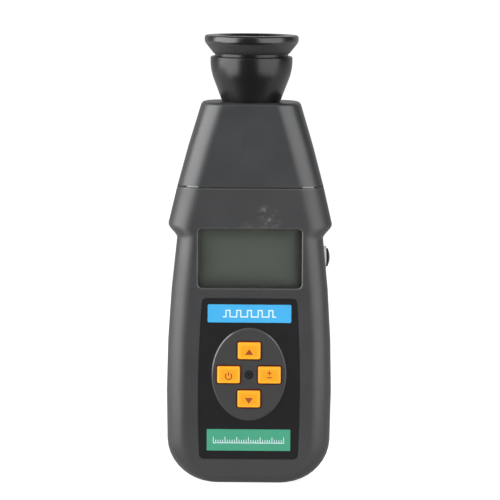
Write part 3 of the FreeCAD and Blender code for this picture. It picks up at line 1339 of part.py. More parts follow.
def pieces():
    """Every piece with its name."""
    case = hollow_case()
    named = {
        "front_shell": front_shell(case),
        "rear_shell": rear_shell(case),
        "battery_cover": battery_cover(),
        "head_cover": head_cover(),
        "lamp_bowl": lamp_bowl(),
        "bowl_nut": bowl_nut(),
        "lens_ring": lens_ring(),
        "lamp_lens": lamp_lens(),
        "reflector": reflector(),
        "lamp_socket": lamp_socket(),
        "flash_tube": flash_tube(),
        "tube_caps": tube_caps(),
        "tube_posts": tube_posts(),
        "trigger_wire": trigger_wire(),
        "lamp_ribbon": lamp_ribbon(),
        "lamp_connector": lamp_connector(),
        "display_window": display_window(),
        "display_panel": display_panel(),
        "display_frame": display_frame(),
        "contact_strips": contact_strips(),
        "keypad_label": keypad_label(),
        "key_switches": key_switches(),
        "centre_screw": centre_screw(),
        "centre_nut": centre_nut(),
        "side_bezel": side_bezel(),
        "side_button": side_button(),
        "side_plunger": side_plunger(),
        "side_switch": side_switch(),
        "side_board": side_board(),
        "main_board": main_board(),
        "controller_chip": controller_chip(),
        "crystal": crystal(),
        "flash_capacitor": flash_capacitor(),
        "transformer_core": transformer_core(),
        "transformer_winding": transformer_winding(),
        "trigger_coil": trigger_coil(),
        "battery_cells": battery_cells(),
        "upper_contacts": upper_contacts(),
        "lower_contacts": lower_contacts(),
        "battery_leads": battery_leads(),
        "case_screws": case_screws(),
        "head_screws": head_screws(),
        "board_screws": board_screws(),
    }
    for name in KEY_PLACES:
        named["key_" + name] = key(name)
        named["plunger_" + name] = key_plunger(name)
    return named


os.makedirs("parts", exist_ok=True)
for name, shape in pieces().items():
    for solid in shape.Solids:
        if not solid.isValid():
            raise ValueError(name + " is not a valid solid")
    shape.exportStep("parts/" + name + ".step")
    print(name, len(shape.Solids), round(shape.Volume, 1))
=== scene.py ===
# %% [markdown]
# # A handheld xenon stroboscope
# A stroboscope lights a turning shaft with short, exact flashes, so that the shaft seems to stand still.
# The instrument is a moulded grip with a display and four press keys. A tapered head on top carries a
# round lamp. The solids come from a CAD model. This script gives each of them the finish of the real
# piece, adds the fine things that a CAD model leaves out, and lights the whole as a product photograph
# on white would.

# %% Load the CAD model
import math

import bpy
from mathutils import Matrix, Vector
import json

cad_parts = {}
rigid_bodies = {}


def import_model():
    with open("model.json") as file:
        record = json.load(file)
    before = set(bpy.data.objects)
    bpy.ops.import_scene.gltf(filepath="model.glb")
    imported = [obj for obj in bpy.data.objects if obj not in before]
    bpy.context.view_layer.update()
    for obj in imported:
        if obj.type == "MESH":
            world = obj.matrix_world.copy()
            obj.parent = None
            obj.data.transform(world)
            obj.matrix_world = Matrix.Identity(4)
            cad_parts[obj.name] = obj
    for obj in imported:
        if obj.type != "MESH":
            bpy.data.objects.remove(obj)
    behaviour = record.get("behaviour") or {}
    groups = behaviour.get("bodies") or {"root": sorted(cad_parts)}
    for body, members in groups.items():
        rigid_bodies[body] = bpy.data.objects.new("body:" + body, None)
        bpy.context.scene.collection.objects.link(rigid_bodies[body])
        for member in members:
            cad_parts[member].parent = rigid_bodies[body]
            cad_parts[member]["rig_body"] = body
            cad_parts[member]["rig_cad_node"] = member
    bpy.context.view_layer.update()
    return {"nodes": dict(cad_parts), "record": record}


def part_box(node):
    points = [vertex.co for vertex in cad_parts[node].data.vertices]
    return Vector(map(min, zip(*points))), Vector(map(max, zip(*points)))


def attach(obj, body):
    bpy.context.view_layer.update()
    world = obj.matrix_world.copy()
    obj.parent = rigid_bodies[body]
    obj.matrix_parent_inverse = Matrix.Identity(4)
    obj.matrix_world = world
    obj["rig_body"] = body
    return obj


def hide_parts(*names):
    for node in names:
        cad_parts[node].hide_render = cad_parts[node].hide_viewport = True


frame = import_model()
NODES = frame["nodes"]
MM = 0.001

# %% [markdown]
# ## Places
# Everything that this script adds sits on a CAD piece, so its place is read from that piece's box. Only
# what the box doesn't show, such as a printed bar's height, is written here as a size in millimetres.

# %% Places read from the CAD pieces
def low(node):
    """The lowest corner of a CAD piece."""
    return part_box(node)[0]


def high(node):
    """The highest corner of a CAD piece."""
    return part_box(node)[1]


def middle(node):
    """The centre of a CAD piece's box."""
    return (low(node) + high(node)) / 2


OVERLAY_FRONT = low("keypad_label").y
print("the overlay's front lies at y =", round(OVERLAY_FRONT / MM, 2), "mm")

# %% [markdown]
# ## Effects that several finishes share
# A node group is built once and placed in each material with its own values. The first one is the grain
# of a moulded part: a tool's surface is spark eroded, so the plastic copies fine, even pits. Two noises do
# that, one for the pits and one, much wider, for the slow change of gloss where hands have touched it.

# %% A helper that starts a node group
def new_group(name, inputs, outputs):
    """A shader node group with named sockets. Each is (name, kind) or (name, kind, default)."""
    group = bpy.data.node_groups.new(name, "ShaderNodeTree")
    for title, kind, *default in inputs:
        socket = group.interface.new_socket(title, in_out="INPUT", socket_type="NodeSocket" + kind)
        if default:
            socket.default_value = default[0]
    for title, kind in outputs:
        group.interface.new_socket(title, in_out="OUTPUT", socket_type="NodeSocket" + kind)
    return group, group.nodes.new("NodeGroupInput"), group.nodes.new("NodeGroupOutput")


def noise(tree, vector, scale, detail=3.0, roughness=0.5):
    """A noise texture that reads the given coordinates."""
    node = tree.nodes.new("ShaderNodeTexNoise")
    node.inputs["Detail"].default_value = detail
    node.inputs["Roughness"].default_value = roughness
    tree.links.new(vector, node.inputs["Vector"])
    if isinstance(scale, (int, float)):
        node.inputs["Scale"].default_value = scale
    else:
        tree.links.new(scale, node.inputs["Scale"])
    return node.outputs["Fac"]


def spread(tree, value, low_in, high_in, low_out, high_out):
    """A value mapped from one range to another. Each end may be a number or a socket."""
    node = tree.nodes.new("ShaderNodeMapRange")
    tree.links.new(value, node.inputs["Value"])
    ends = {"From Min": low_in, "From Max": high_in, "To Min": low_out, "To Max": high_out}
    for title, end in ends.items():
        if isinstance(end, (int, float)):
            node.inputs[title].default_value = end
        else:
            tree.links.new(end, node.inputs[title])
    return node.outputs["Result"]


def maths(tree, operation, first, second):
    """One sum on two values, each a number or a socket."""
    node = tree.nodes.new("ShaderNodeMath")
    node.operation = operation
    for index, term in enumerate((first, second)):
        if isinstance(term, (int, float)):
            node.inputs[index].default_value = term
        else:
            tree.links.new(term, node.inputs[index])
    return node.outputs["Value"]


def apart(tree, first, second):
    """How far two values lie from each other, without a sign."""
    return maths(tree, "ABSOLUTE", maths(tree, "SUBTRACT", first, second), 0.0)


def near_line(tree, value, line, half, fade, strength=1.0):
    """A mask round one line: full up to half its width away, and gone at fade."""
    return spread(tree, apart(tree, value, line), half, fade, strength, 0.0)


def mixed(tree, factor, first, second):
    """Two colours mixed by a mask. Each may be a socket or a colour."""
    node = tree.nodes.new("ShaderNodeMix")
    node.data_type = "RGBA"
    tree.links.new(factor, node.inputs["Factor"])
    for title, colour in (("A", first), ("B", second)):
        socket = next(s for s in node.inputs if s.name == title and s.type == "RGBA")
        if isinstance(colour, (tuple, list)):
            socket.default_value = (*colour, 1.0)
        else:
            tree.links.new(colour, socket)
    return next(s for s in node.outputs if s.type == "RGBA")


print("helpers for shader nodes are ready")

# %% The grain of moulded plastic
PATCH_SCALE = 42.0
PIT_HEIGHT = 0.02 * MM


def grain_group():
    """Fine pits and slow patches of gloss."""
    group, given, out = new_group(
        "moulded_grain",
        (
            ("Vector", "Vector"),
            ("Colour", "Color", (0.5, 0.5, 0.5, 1.0)),
            ("Shade change", "Float", 0.06),
            ("Gloss low", "Float", 0.4),
            ("Gloss high", "Float", 0.5),
            ("Pit scale", "Float", 2400.0),
            ("Pit depth", "Float", 0.1),
        ),
        (("Colour", "Color"), ("Roughness", "Float"), ("Normal", "Vector")),
    )
    vector = given.outputs["Vector"]
    pits = noise(group, vector, given.outputs["Pit scale"], 2.0)
    patches = noise(group, vector, PATCH_SCALE, 4.0, 0.6)
    change = given.outputs["Shade change"]
    shade = maths(group, "MULTIPLY", spread(group, patches, 0.3, 0.7, -1.0, 1.0), change)
    fleck = maths(group, "MULTIPLY", spread(group, pits, 0.35, 0.65, -0.6, 0.6), change)
    value = maths(group, "ADD", maths(group, "ADD", shade, fleck), 1.0)
    tint = group.nodes.new("ShaderNodeHueSaturation")
    group.links.new(value, tint.inputs["Value"])
    group.links.new(given.outputs["Colour"], tint.inputs["Color"])
    group.links.new(tint.outputs["Color"], out.inputs["Colour"])
    gloss = spread(group, patches, 0.3, 0.7, given.outputs["Gloss low"], given.outputs["Gloss high"])
    group.links.new(gloss, out.inputs["Roughness"])
    bump = group.nodes.new("ShaderNodeBump")
    bump.inputs["Distance"].default_value = PIT_HEIGHT
    group.links.new(pits, bump.inputs["Height"])
    group.links.new(given.outputs["Pit depth"], bump.inputs["Strength"])
    group.links.new(bump.outputs["Normal"], out.inputs["Normal"])
    return group


GRAIN = grain_group()
print("made the group", GRAIN.name)

# %% [markdown]
# Some looks follow an outline: the painted highlight round the display's opening, the painted shade along
# the panel's edges behind its window, and the painted highlights and shade on the rims of the keys. All
# need the distance to a rounded rectangle. A group works it out from the Object coordinates: negative
# inside, zero on the line, positive outside.

# %% The distance to a rounded rectangle
def outline_group():
    """How far a spot lies from a rounded rectangle that faces the front."""
    sizes = ("Centre X", "Centre Z", "Half width", "Half height", "Corner")
    inputs = [("Vector", "Vector")] + [(title, "Float", 0.01) for title in sizes]
    group, given, out = new_group("outline_distance", inputs, (("Distance", "Float"),))
    parted = group.nodes.new("ShaderNodeSeparateXYZ")
    group.links.new(given.outputs["Vector"], parted.inputs["Vector"])
    corner = given.outputs["Corner"]
    past = []
    for place, centre, half in (("X", "Centre X", "Half width"), ("Z", "Centre Z", "Half height")):
        away = apart(group, parted.outputs[place], given.outputs[centre])
        straight = maths(group, "SUBTRACT", given.outputs[half], corner)
        past.append(maths(group, "SUBTRACT", away, straight))
    squares = [maths(group, "POWER", maths(group, "MAXIMUM", value, 0.0), 2.0) for value in past]
    outside = maths(group, "SQRT", maths(group, "ADD", *squares), 0.0)
    inside = maths(group, "MINIMUM", maths(group, "MAXIMUM", *past), 0.0)
    distance = maths(group, "SUBTRACT", maths(group, "ADD", outside, inside), corner)
    group.links.new(distance, out.inputs["Distance"])
    return group


OUTLINE = outline_group()
print("made the group", OUTLINE.name)

# %% [markdown]
# Fine dust settles where a thumb rarely rubs, such as above the display. A broken noise, cut off by the
# distance from one spot, gives a small powdery patch instead of an even veil.

# %% Dust round one spot
DRIFT_SCALE = 260.0


def dust_group():
    """A mask of powdery specks that fades with the distance from a spot."""
    inputs = (
        ("Vector", "Vector"),
        ("Spot", "Vector"),
        ("Reach", "Float", 0.01),
        ("Speck scale", "Float", 900.0),
        ("Amount", "Float", 0.3),
    )
    group, given, out = new_group("dust", inputs, (("Mask", "Float"),))
    vector = given.outputs["Vector"]
    away = group.nodes.new("ShaderNodeVectorMath")
    away.operation = "DISTANCE"
    group.links.new(vector, away.inputs[0])
    group.links.new(given.outputs["Spot"], away.inputs[1])
    near = spread(group, away.outputs["Value"], 0.0, given.outputs["Reach"], 1.0, 0.0)
    drift = spread(group, noise(group, vector, DRIFT_SCALE, 4.0, 0.65), 0.45, 0.62, 0.0, 1.0)
    grit = noise(group, vector, given.outputs["Speck scale"], 3.0)
    specks = spread(group, grit, 0.42, 0.66, 0.1, 1.0)
    mask = maths(group, "MULTIPLY", maths(group, "MULTIPLY", drift, specks), near)
    group.links.new(maths(group, "MULTIPLY", mask, given.outputs["Amount"]), out.inputs["Mask"])
    return group


DUST = dust_group()
print("made the group", DUST.name)

# %% [markdown]
# ## Finishes
# Every finish below starts from the same few nodes: Object coordinates go into the grain group, and its
# colour, roughness and normal go into a Principled BSDF. What is the same all over a piece, such as how
# metallic it is, is set on the shader's own socket.

# %% A helper that makes a finish from the grain group
def finish(name, colour, gloss, shade_change=0.06, pit_scale=2400.0, pit_depth=0.1, **settings):
    """A material with grain. gloss is (lowest, highest) roughness, and settings go on the shader."""
    material = bpy.data.materials.new(name + "_finish")
    material.use_nodes = True
    tree = material.node_tree
    shader = tree.nodes["Principled BSDF"]
    places = tree.nodes.new("ShaderNodeTexCoord")
    grain = tree.nodes.new("ShaderNodeGroup")
    grain.node_tree = GRAIN
    grain.name = "Grain"
    tree.links.new(places.outputs["Object"], grain.inputs["Vector"])
    grain.inputs["Colour"].default_value = (*colour, 1.0)
    grain.inputs["Shade change"].default_value = shade_change
    grain.inputs["Gloss low"].default_value, grain.inputs["Gloss high"].default_value = gloss
    grain.inputs["Pit scale"].default_value = pit_scale
    grain.inputs["Pit depth"].default_value = pit_depth
    tree.links.new(grain.outputs["Colour"], shader.inputs["Base Color"])
    tree.links.new(grain.outputs["Roughness"], shader.inputs["Roughness"])
    tree.links.new(grain.outputs["Normal"], shader.inputs["Normal"])
    for title, value in settings.items():
        shader.inputs[title.replace("_", " ")].default_value = value
    return material


def masked_by(material, group, **values):
    """Place a group in a material, fed with Object coordinates and values. Returns what it puts out."""
    tree = material.node_tree
    placed = tree.nodes.new("ShaderNodeGroup")
    placed.node_tree = group
    places = next(node for node in tree.nodes if node.bl_idname == "ShaderNodeTexCoord")
    tree.links.new(places.outputs["Object"], placed.inputs["Vector"])
    for title, value in values.items():
        placed.inputs[title.replace("_", " ")].default_value = value
    return placed.outputs[0]


def along(material, axis):
    """The Object coordinate along one axis."""
    tree = material.node_tree
    parted = tree.nodes.new("ShaderNodeSeparateXYZ")
    places = next(node for node in tree.nodes if node.bl_idname == "ShaderNodeTexCoord")
    tree.links.new(places.outputs["Object"], parted.inputs["Vector"])
    return parted.outputs[axis]


def painted(material, mask, colour=None, gloss=None):
    """Another colour or gloss where a mask says so, over what the material already shows."""
    tree = material.node_tree
    shader = tree.nodes["Principled BSDF"]
    if colour is not None:
        under = shader.inputs["Base Color"].links[0].from_socket
        tree.links.new(mixed(tree, mask, under, colour), shader.inputs["Base Color"])
    if gloss is not None:
        under = shader.inputs["Roughness"].links[0].from_socket
        tree.links.new(spread(tree, mask, 0.0, 1.0, under, gloss), shader.inputs["Roughness"])


BLACK = (0.006, 0.006, 0.006)
ERODED = {"shade_change": 0.05, "pit_scale": 2200.0, "pit_depth": 0.35, "Specular_IOR_Level": 0.75}
POLISHED = {"shade_change": 0.05, "pit_scale": 900.0, "pit_depth": 0.02, "Specular_IOR_Level": 0.42}
SHELL = finish("shell_plastic", (0.031, 0.032, 0.034), (0.34, 0.42), **ERODED)
# The head cover and the front shell are the same plastic as the rear shell. Their darker base colours are
# painted shade, which tones down the light they catch from the lamps.
HEAD = finish("head_plastic", (0.022, 0.023, 0.025), (0.34, 0.42), **ERODED)
FRONT = finish("front_plastic", (0.0185, 0.0190, 0.0205), (0.42, 0.50), **ERODED)
GLOSS_BLACK = finish("gloss_black", BLACK, (0.26, 0.32), **POLISHED)
BUTTON = finish("button_rubber", BLACK, (0.45, 0.55), 0.06, 2600.0, 0.1, Specular_IOR_Level=0.25)
INNER = finish("frame_plastic", (0.035, 0.035, 0.037), (0.45, 0.55))
print("made the finishes of the case, the lamp housing and the inner frames")

# %% [markdown]
# The front shell shows more than its grain. The island that the keys stand on was left darker by its tool,
# with a painted highlight along its rim. Painted shade darkens a well round each key, a thin painted
# highlight runs round the display's opening, and some dust lies above the display.

# %% The front shell's own finish
KEYS = ("key_up", "key_down", "key_power", "key_fine")
WINDOW_LAP = 1.7 * MM
DISPLAY = {
    "Centre_X": middle("display_window").x,
    "Centre_Z": middle("display_window").z,
    "Half_width": high("display_window").x - middle("display_window").x - WINDOW_LAP,
    "Half_height": high("display_window").z - middle("display_window").z - WINDOW_LAP,
    "Corner": 2.0 * MM,
}
KEY_OUTLINE = {"Half_width": 5.45 * MM, "Half_height": 4.15 * MM, "Corner": 0.9 * MM}
ISLAND_FRONT = OVERLAY_FRONT - 0.65 * MM
ISLAND_TOP = 79.0 * MM
DUST_SPOTS = (((9.0, 125.5), 6.5, 0.6), ((6.5, 129.0), 4.5, 0.3), ((-1.5, 122.0), 3.5, 0.5))


def off_keys(material):
    """The distance to the outline of the nearest key, negative on the key."""
    nearest = None
    for node in KEYS:
        place = {"Centre_X": middle(node).x, "Centre_Z": middle(node).z}
        distance = masked_by(material, OUTLINE, **place, **KEY_OUTLINE)
        nearest = distance if nearest is None else maths(material.node_tree, "MINIMUM", nearest, distance)
    return nearest


def dress_island():
    """Paint the darker island, a highlight along its rim, and shade in the wells round the keys."""
    tree = FRONT.node_tree
    height = along(FRONT, "Y")
    proud = spread(tree, height, OVERLAY_FRONT - 0.1 * MM, OVERLAY_FRONT - 0.4 * MM, 0.0, 1.0)
    below = spread(tree, along(FRONT, "Z"), ISLAND_TOP + 1.0 * MM, ISLAND_TOP, 0.0, 1.0)
    painted(FRONT, maths(tree, "MULTIPLY", proud, below), (0.0150, 0.0145, 0.0150), 0.5)
    # A painted highlight along the island's rim.
    slope = spread(tree, height, OVERLAY_FRONT - 0.05 * MM, OVERLAY_FRONT - 0.1 * MM, 0.0, 1.0)
    top = spread(tree, height, ISLAND_FRONT + 0.02 * MM, ISLAND_FRONT + 0.08 * MM, 0.0, 1.0)
    rim_highlight = maths(tree, "MULTIPLY", maths(tree, "MULTIPLY", slope, top), below)
    painted(FRONT, rim_highlight, (0.060, 0.060, 0.062), 0.25)
    # Painted shade in the gap round each key.
    well_shade = spread(tree, off_keys(FRONT), 0.55 * MM, 1.0 * MM, 0.95, 0.0)
    painted(FRONT, well_shade, (0.018, 0.004, 0.003), 0.8)


def dress_display():
    """Paint a highlight along the rim of the display's opening, and the dust above it."""
    off_display = masked_by(FRONT, OUTLINE, **DISPLAY)
    # A painted highlight along the rim of the opening.
    rim_highlight = near_line(FRONT.node_tree, off_display, 0.3 * MM, 0.15 * MM, 0.4 * MM, 0.6)
    painted(FRONT, rim_highlight, (0.085, 0.087, 0.082), 0.35)
    for (x, z), reach, amount in DUST_SPOTS:
        place = (x * MM, low("front_shell").y, z * MM)
        mask = masked_by(FRONT, DUST, Spot=place, Reach=reach * MM, Amount=amount)
        painted(FRONT, mask, (0.30, 0.28, 0.26), 0.8)


dress_island()
dress_display()
print("dressed the front shell's plastic, with", len(FRONT.node_tree.nodes), "nodes")

# %% [markdown]
# The head sits on the case with a fine gap, which is too narrow for its shade to survive in a small
# picture. So its light and shade are painted: a dark line of painted shade in the gap, a painted highlight
# along the case's lip just below it, and a short painted reflection at each of the front's rounded
# corners, where the lip turns towards the lamps.

# %% The seam between head and case
SEAM = low("head_cover").z
LIP_DROP = 0.65 * MM
SEAM_HALF = 0.36 * MM
CORNER_X = 26.8 * MM
CORNER_HALF = 2.3 * MM


def draw_seam(material):
    """Paint the seam's shade as a dark line, a highlight along the lip, and reflections at two corners."""
    tree = material.node_tree
    height = along(material, "Z")
    # A painted highlight along the lip just below the seam.
    lip_highlight = near_line(tree, height, SEAM - LIP_DROP, 0.15 * MM, 0.35 * MM, 0.8)
    painted(material, lip_highlight, (0.11, 0.11, 0.11), 0.25)
    # Painted shade: a dark line along the gap.
    seam_shade = near_line(tree, height, SEAM, SEAM_HALF, 0.54 * MM)
    painted(material, seam_shade, (0.004, 0.004, 0.004), 0.8)
    # A painted reflection at each rounded corner, where the lip turns towards the lamps.
    across = maths(tree, "ABSOLUTE", along(material, "X"), 0.0)
    corner = near_line(tree, across, CORNER_X, CORNER_HALF, CORNER_HALF + 0.6 * MM)
    lit = maths(tree, "MULTIPLY", corner, near_line(tree, height, SEAM, SEAM_HALF, 0.5 * MM, 0.8))
    painted(material, lit, (0.24, 0.25, 0.26), 0.3)


for material in (FRONT, SHELL, HEAD):
    draw_seam(material)
print("drew the seam at z =", round(SEAM / MM, 2), "mm")

# %% [markdown]
# Metals get their look from Metallic and a low roughness, and differ in colour and in the evenness of
# their gloss.

# %% Metals
BARE_STEEL = (0.56, 0.55, 0.53)
BLACK_STEEL = finish("black_steel", (0.08, 0.08, 0.083), (0.3, 0.45), 0.15, 1500.0, 0.12, Metallic=1.0)
STEEL = finish("steel", BARE_STEEL, (0.26, 0.42), 0.12, 1500.0, 0.12, Metallic=1.0)
BRASS = finish("brass_insert", (0.6, 0.44, 0.18), (0.3, 0.45), 0.1, 1500.0, 0.1, Metallic=1.0)
REFLECTOR = finish("bright_reflector", (0.86, 0.87, 0.88), (0.08, 0.16), 0.03, 700.0, 0.05, Metallic=1.0)
print("made the metals")

# %% Electrical pieces
BOARD = finish("board_laminate", (0.03, 0.16, 0.07), (0.3, 0.45), 0.25, 500.0, 0.1)
CHIP = finish("chip_plastic", (0.022, 0.022, 0.023), (0.55, 0.7), 0.08)
SLEEVE = finish("capacitor_sleeve", (0.02, 0.03, 0.055), (0.2, 0.3), 0.06, 600.0, 0.04)
FERRITE = finish("ferrite", (0.05, 0.048, 0.046), (0.6, 0.75), 0.12, 1200.0, 0.3)
TAPE = finish("winding_tape", (0.62, 0.48, 0.1), (0.22, 0.35), 0.1, 400.0, 0.1)
CELLS = finish("cell_sleeve", (0.1, 0.1, 0.11), (0.2, 0.3), 0.06, 800.0, 0.03)
LEADS = finish("lead_insulation", (0.35, 0.03, 0.03), (0.35, 0.45), 0.06)
CERAMIC = finish("ceramic", (0.72, 0.7, 0.65), (0.6, 0.75), 0.04, 1800.0, 0.2)
RIBBON = finish("ribbon_film", (0.55, 0.3, 0.07), (0.25, 0.35), 0.08)
STRIP = finish("rubber_strip", (0.03, 0.03, 0.03), (0.6, 0.7), 0.08)
SWITCH = finish("switch_plastic", (0.05, 0.05, 0.05), (0.45, 0.55), 0.08)
BEZEL = finish("bezel_plastic", (0.72, 0.72, 0.72), (0.35, 0.45), 0.05)
print("made the electrical finishes")

# %% Steel ends on the cells
CELL_CAP = 2.1 * MM


def steel_ends():
    """Bare steel at both ends of the cells, and the printed sleeve between."""
    tree = CELLS.node_tree
    centre = middle("battery_cells").z
    edge = high("battery_cells").z - centre - CELL_CAP
    ends = spread(tree, apart(tree, along(CELLS, "Z"), centre), edge - 0.1 * MM, edge, 0.0, 1.0)
    painted(CELLS, ends, BARE_STEEL, 0.3)
    tree.links.new(ends, tree.nodes["Principled BSDF"].inputs["Metallic"])


steel_ends()
print("bared the ends of the cells")

# %% [markdown]
# The overlay is a printed film, a little rough. The keys are a warm orange plastic, with a painted
# highlight towards their rims and painted shade along their edges and sides. The display panel is matt,
# with painted shade towards its edges.

# %% Overlay and keys
FILM_GRAIN = {"shade_change": 0.05, "pit_scale": 3000.0, "pit_depth": 0.15, "Specular_IOR_Level": 0.15}
FILM = finish("label_film", (0.0110, 0.0110, 0.0120), (0.42, 0.50), **FILM_GRAIN)
KEY = finish("key_yellow", (0.87, 0.305, 0.006), (0.38, 0.48), 0.04, 2600.0, 0.12)
KEY_FRONT = low("key_up").y


def shade_keys():
    """Paint a highlight towards the keys' rims, and shade along their edges and sides."""
    tree = KEY.node_tree
    past_edge = off_keys(KEY)
    # A painted highlight towards each key's rim.
    painted(KEY, spread(tree, past_edge, -2.2 * MM, -0.7 * MM, 0.0, 0.8), (0.94, 0.42, 0.014))
    # Painted shade along each key's edge.
    painted(KEY, spread(tree, past_edge, -0.45 * MM, -0.05 * MM, 0.0, 1.0), (0.45, 0.070, 0.008))
    # Painted shade on the keys' sides behind their fronts.
    side_shade = spread(tree, along(KEY, "Y"), KEY_FRONT + 0.25 * MM, KEY_FRONT + 1.0 * MM, 0.0, 1.0)
    painted(KEY, side_shade, (0.16, 0.022, 0.005))


shade_keys()
print("made the overlay and the keys")

# %% The display panel
MATT = {"shade_change": 0.01, "pit_scale": 300.0, "pit_depth": 0.0, "Specular_IOR_Level": 0.0}
PANEL = finish("display_panel", (0.052, 0.0595, 0.0505), (0.6, 0.7), **MATT)
PANEL_SHADE = (0.030, 0.033, 0.027)
DEEP_SHADE = (0.009, 0.010, 0.0075)
SHADE_REACH = 8.0 * MM


def shade_panel():
    """Paint shade on the panel towards its edges, most along the right and the bottom."""
    tree = PANEL.node_tree
    past_edge = masked_by(PANEL, OUTLINE, **DISPLAY)
    # Painted shade, where the walls of the opening shade the panel.
    painted(PANEL, spread(tree, past_edge, -SHADE_REACH, 0.0, 0.0, 1.0), PANEL_SHADE)
    right = DISPLAY["Centre_X"] + DISPLAY["Half_width"]
    bottom = DISPLAY["Centre_Z"] - DISPLAY["Half_height"]
    at_right = spread(tree, along(PANEL, "X"), right - 4.4 * MM, right - 2.2 * MM, 0.0, 1.0)
    painted(PANEL, at_right, DEEP_SHADE)
    at_bottom = spread(tree, along(PANEL, "Z"), bottom + 4.5 * MM, bottom + 1.6 * MM, 0.0, 0.8)
    painted(PANEL, at_bottom, DEEP_SHADE)


shade_panel()
print("made the display panel")

# %% [markdown]
# Clear pieces need transmission. The lens of the lamp is thick, so it keeps its true index of refraction.
# The display's window is thin and a little rough. Light on its way to the panel passes it unbent, because
# a path tracer finds a lamp through rough glass only by chance, and the panel would be full of speckle.

# %% Clear pieces
def clear(name, colour, roughness, index):
    """A transparent plastic or glass, with a trace of unevenness in its gloss."""
    material = finish(name, colour, (roughness, roughness + 0.03), 0.01, 500.0, 0.01)
    shader = material.node_tree.nodes["Principled BSDF"]
    shader.inputs["Transmission Weight"].default_value = 1.0
    shader.inputs["IOR"].default_value = index
    return material


def let_light_through(material):
    """Let light pass a thin clear piece unbent on its way to what lies behind."""
    tree = material.node_tree
    path = tree.nodes.new("ShaderNodeLightPath")
    passing = maths(tree, "MAXIMUM", path.outputs["Is Shadow Ray"], path.outputs["Is Diffuse Ray"])
    solid = maths(tree, "SUBTRACT", 1.0, passing)
    tree.links.new(solid, tree.nodes["Principled BSDF"].inputs["Alpha"])


LENS = clear("clear_lens", (0.93, 0.95, 0.96), 0.01, 1.47)
WINDOW = clear("display_glass", (0.80, 0.84, 0.80), 0.30, 1.36)
WINDOW.node_tree.nodes["Principled BSDF"].inputs["Specular IOR Level"].default_value = 0.12
let_light_through(WINDOW)
print("made the clear pieces")

# %% Put a finish on every CAD piece
FINISHES = {
    "shell_plastic": SHELL,
    "gloss_black": GLOSS_BLACK,
    "button_rubber": BUTTON,
    "frame_plastic": INNER,
    "steel": STEEL,
    "brass_insert": BRASS,
    "bright_reflector": REFLECTOR,
    "board_laminate": BOARD,
    "chip_plastic": CHIP,
    "capacitor_sleeve": SLEEVE,
    "ferrite": FERRITE,
    "winding_tape": TAPE,
    "cell_sleeve": CELLS,
    "lead_insulation": LEADS,
    "ceramic": CERAMIC,
    "ribbon_film": RIBBON,
    "rubber_strip": STRIP,
    "switch_plastic": SWITCH,
    "bezel_plastic": BEZEL,
    "label_film": FILM,
    "key_yellow": KEY,
    "display_panel": PANEL,
    "display_glass": WINDOW,
    "clear_lens": LENS,
}
OWN_FINISHES = {"front_shell": FRONT, "head_cover": HEAD, "centre_screw": BLACK_STEEL}
SLOT_OF = {part["node"]: part["material_slot"] for part in frame["record"]["subparts"]}
for node, piece in NODES.items():
    piece.data.materials.clear()
    piece.data.materials.append(OWN_FINISHES.get(node, FINISHES[SLOT_OF[node]]))
print("dressed", len(NODES), "pieces")

# %% [markdown]
# ## Smooth skins
# A CAD piece arrives as loose flat triangles, one patch for each of its faces. On the long curves of the
# case a highlight would break at every patch. A copy whose doubles are merged can be shaded smooth up to an
# angle. Weighted normals then keep the large flats flat, and the narrow rounded edges take all the bending.

# %% Replace the visible shells by smooth copies
SEAM_WELD = 0.004 * MM


def smooth_copy(node, angle=32.0):
    """A merged, smooth copy that stands for a CAD piece."""
    bpy.ops.object.select_all(action="DESELECT")
    source = NODES[node]
    copy = source.copy()
    copy.data = source.data.copy()
    copy.parent = None
    copy.name = node + "_skin"
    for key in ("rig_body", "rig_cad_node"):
        if key in copy:
            del copy[key]
    bpy.context.scene.collection.objects.link(copy)
    copy.select_set(True)
    bpy.context.view_layer.objects.active = copy
    bpy.ops.object.mode_set(mode="EDIT")
    bpy.ops.mesh.select_all(action="SELECT")
    bpy.ops.mesh.customdata_custom_splitnormals_clear()
    bpy.ops.mesh.remove_doubles(threshold=SEAM_WELD)
    bpy.ops.mesh.normals_make_consistent(inside=False)
    bpy.ops.object.mode_set(mode="OBJECT")
    bpy.ops.object.shade_smooth_by_angle(angle=math.radians(angle))
    bpy.ops.object.modifier_add(type="WEIGHTED_NORMAL")
    copy.modifiers[-1].keep_sharp = True
    bpy.ops.object.modifier_apply(modifier=copy.modifiers[-1].name)
    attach(copy, source["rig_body"])
    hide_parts(node)
    return copy


SCREWS = ("centre_screw", "case_screws", "head_screws")
ROUND_PIECES = ("battery_cells", "flash_capacitor", "crystal", "lamp_lens", "tube_caps", "tube_posts")
SMOOTHED = ("front_shell", "rear_shell", "head_cover", "battery_cover", "side_button", "side_bezel")
SKINS = {node: smooth_copy(node) for node in (*SMOOTHED, *SCREWS, *ROUND_PIECES)}
SKINS.update({node: smooth_copy(node, 60.0) for node in KEYS})
print("smoothed", ", ".join(SKINS))

# %% [markdown]
# The screws have a cross recess, cut by the punch that forged their heads. Two crossed wedges, narrower at
# the bottom as the driver's tip is, are taken away from each head with a boolean modifier.

# %% Cross recesses in the screw heads
HEAD_RIM = 0.3 * MM
HEAD_WIDTH = 6.0 * MM
TIP_TAPER = 0.55


def head_spots(skin, outward):
    """The middle of each screw head's outer face. outward is 1 for heads at the back, -1 for the front."""
    face = max(outward * corner.co.y for corner in skin.data.vertices)
    heads = []
    for corner in skin.data.vertices:
        if outward * corner.co.y > face - HEAD_RIM:
            for head in heads:
                if (head[0] - corner.co).length < HEAD_WIDTH:
                    head.append(corner.co)
                    break
            else:
                heads.append([corner.co])
    spots = []
    for head in heads:
        x = (min(co.x for co in head) + max(co.x for co in head)) / 2
        z = (min(co.z for co in head) + max(co.z for co in head)) / 2
        spots.append(Vector((x, outward * face, z)))
    return spots


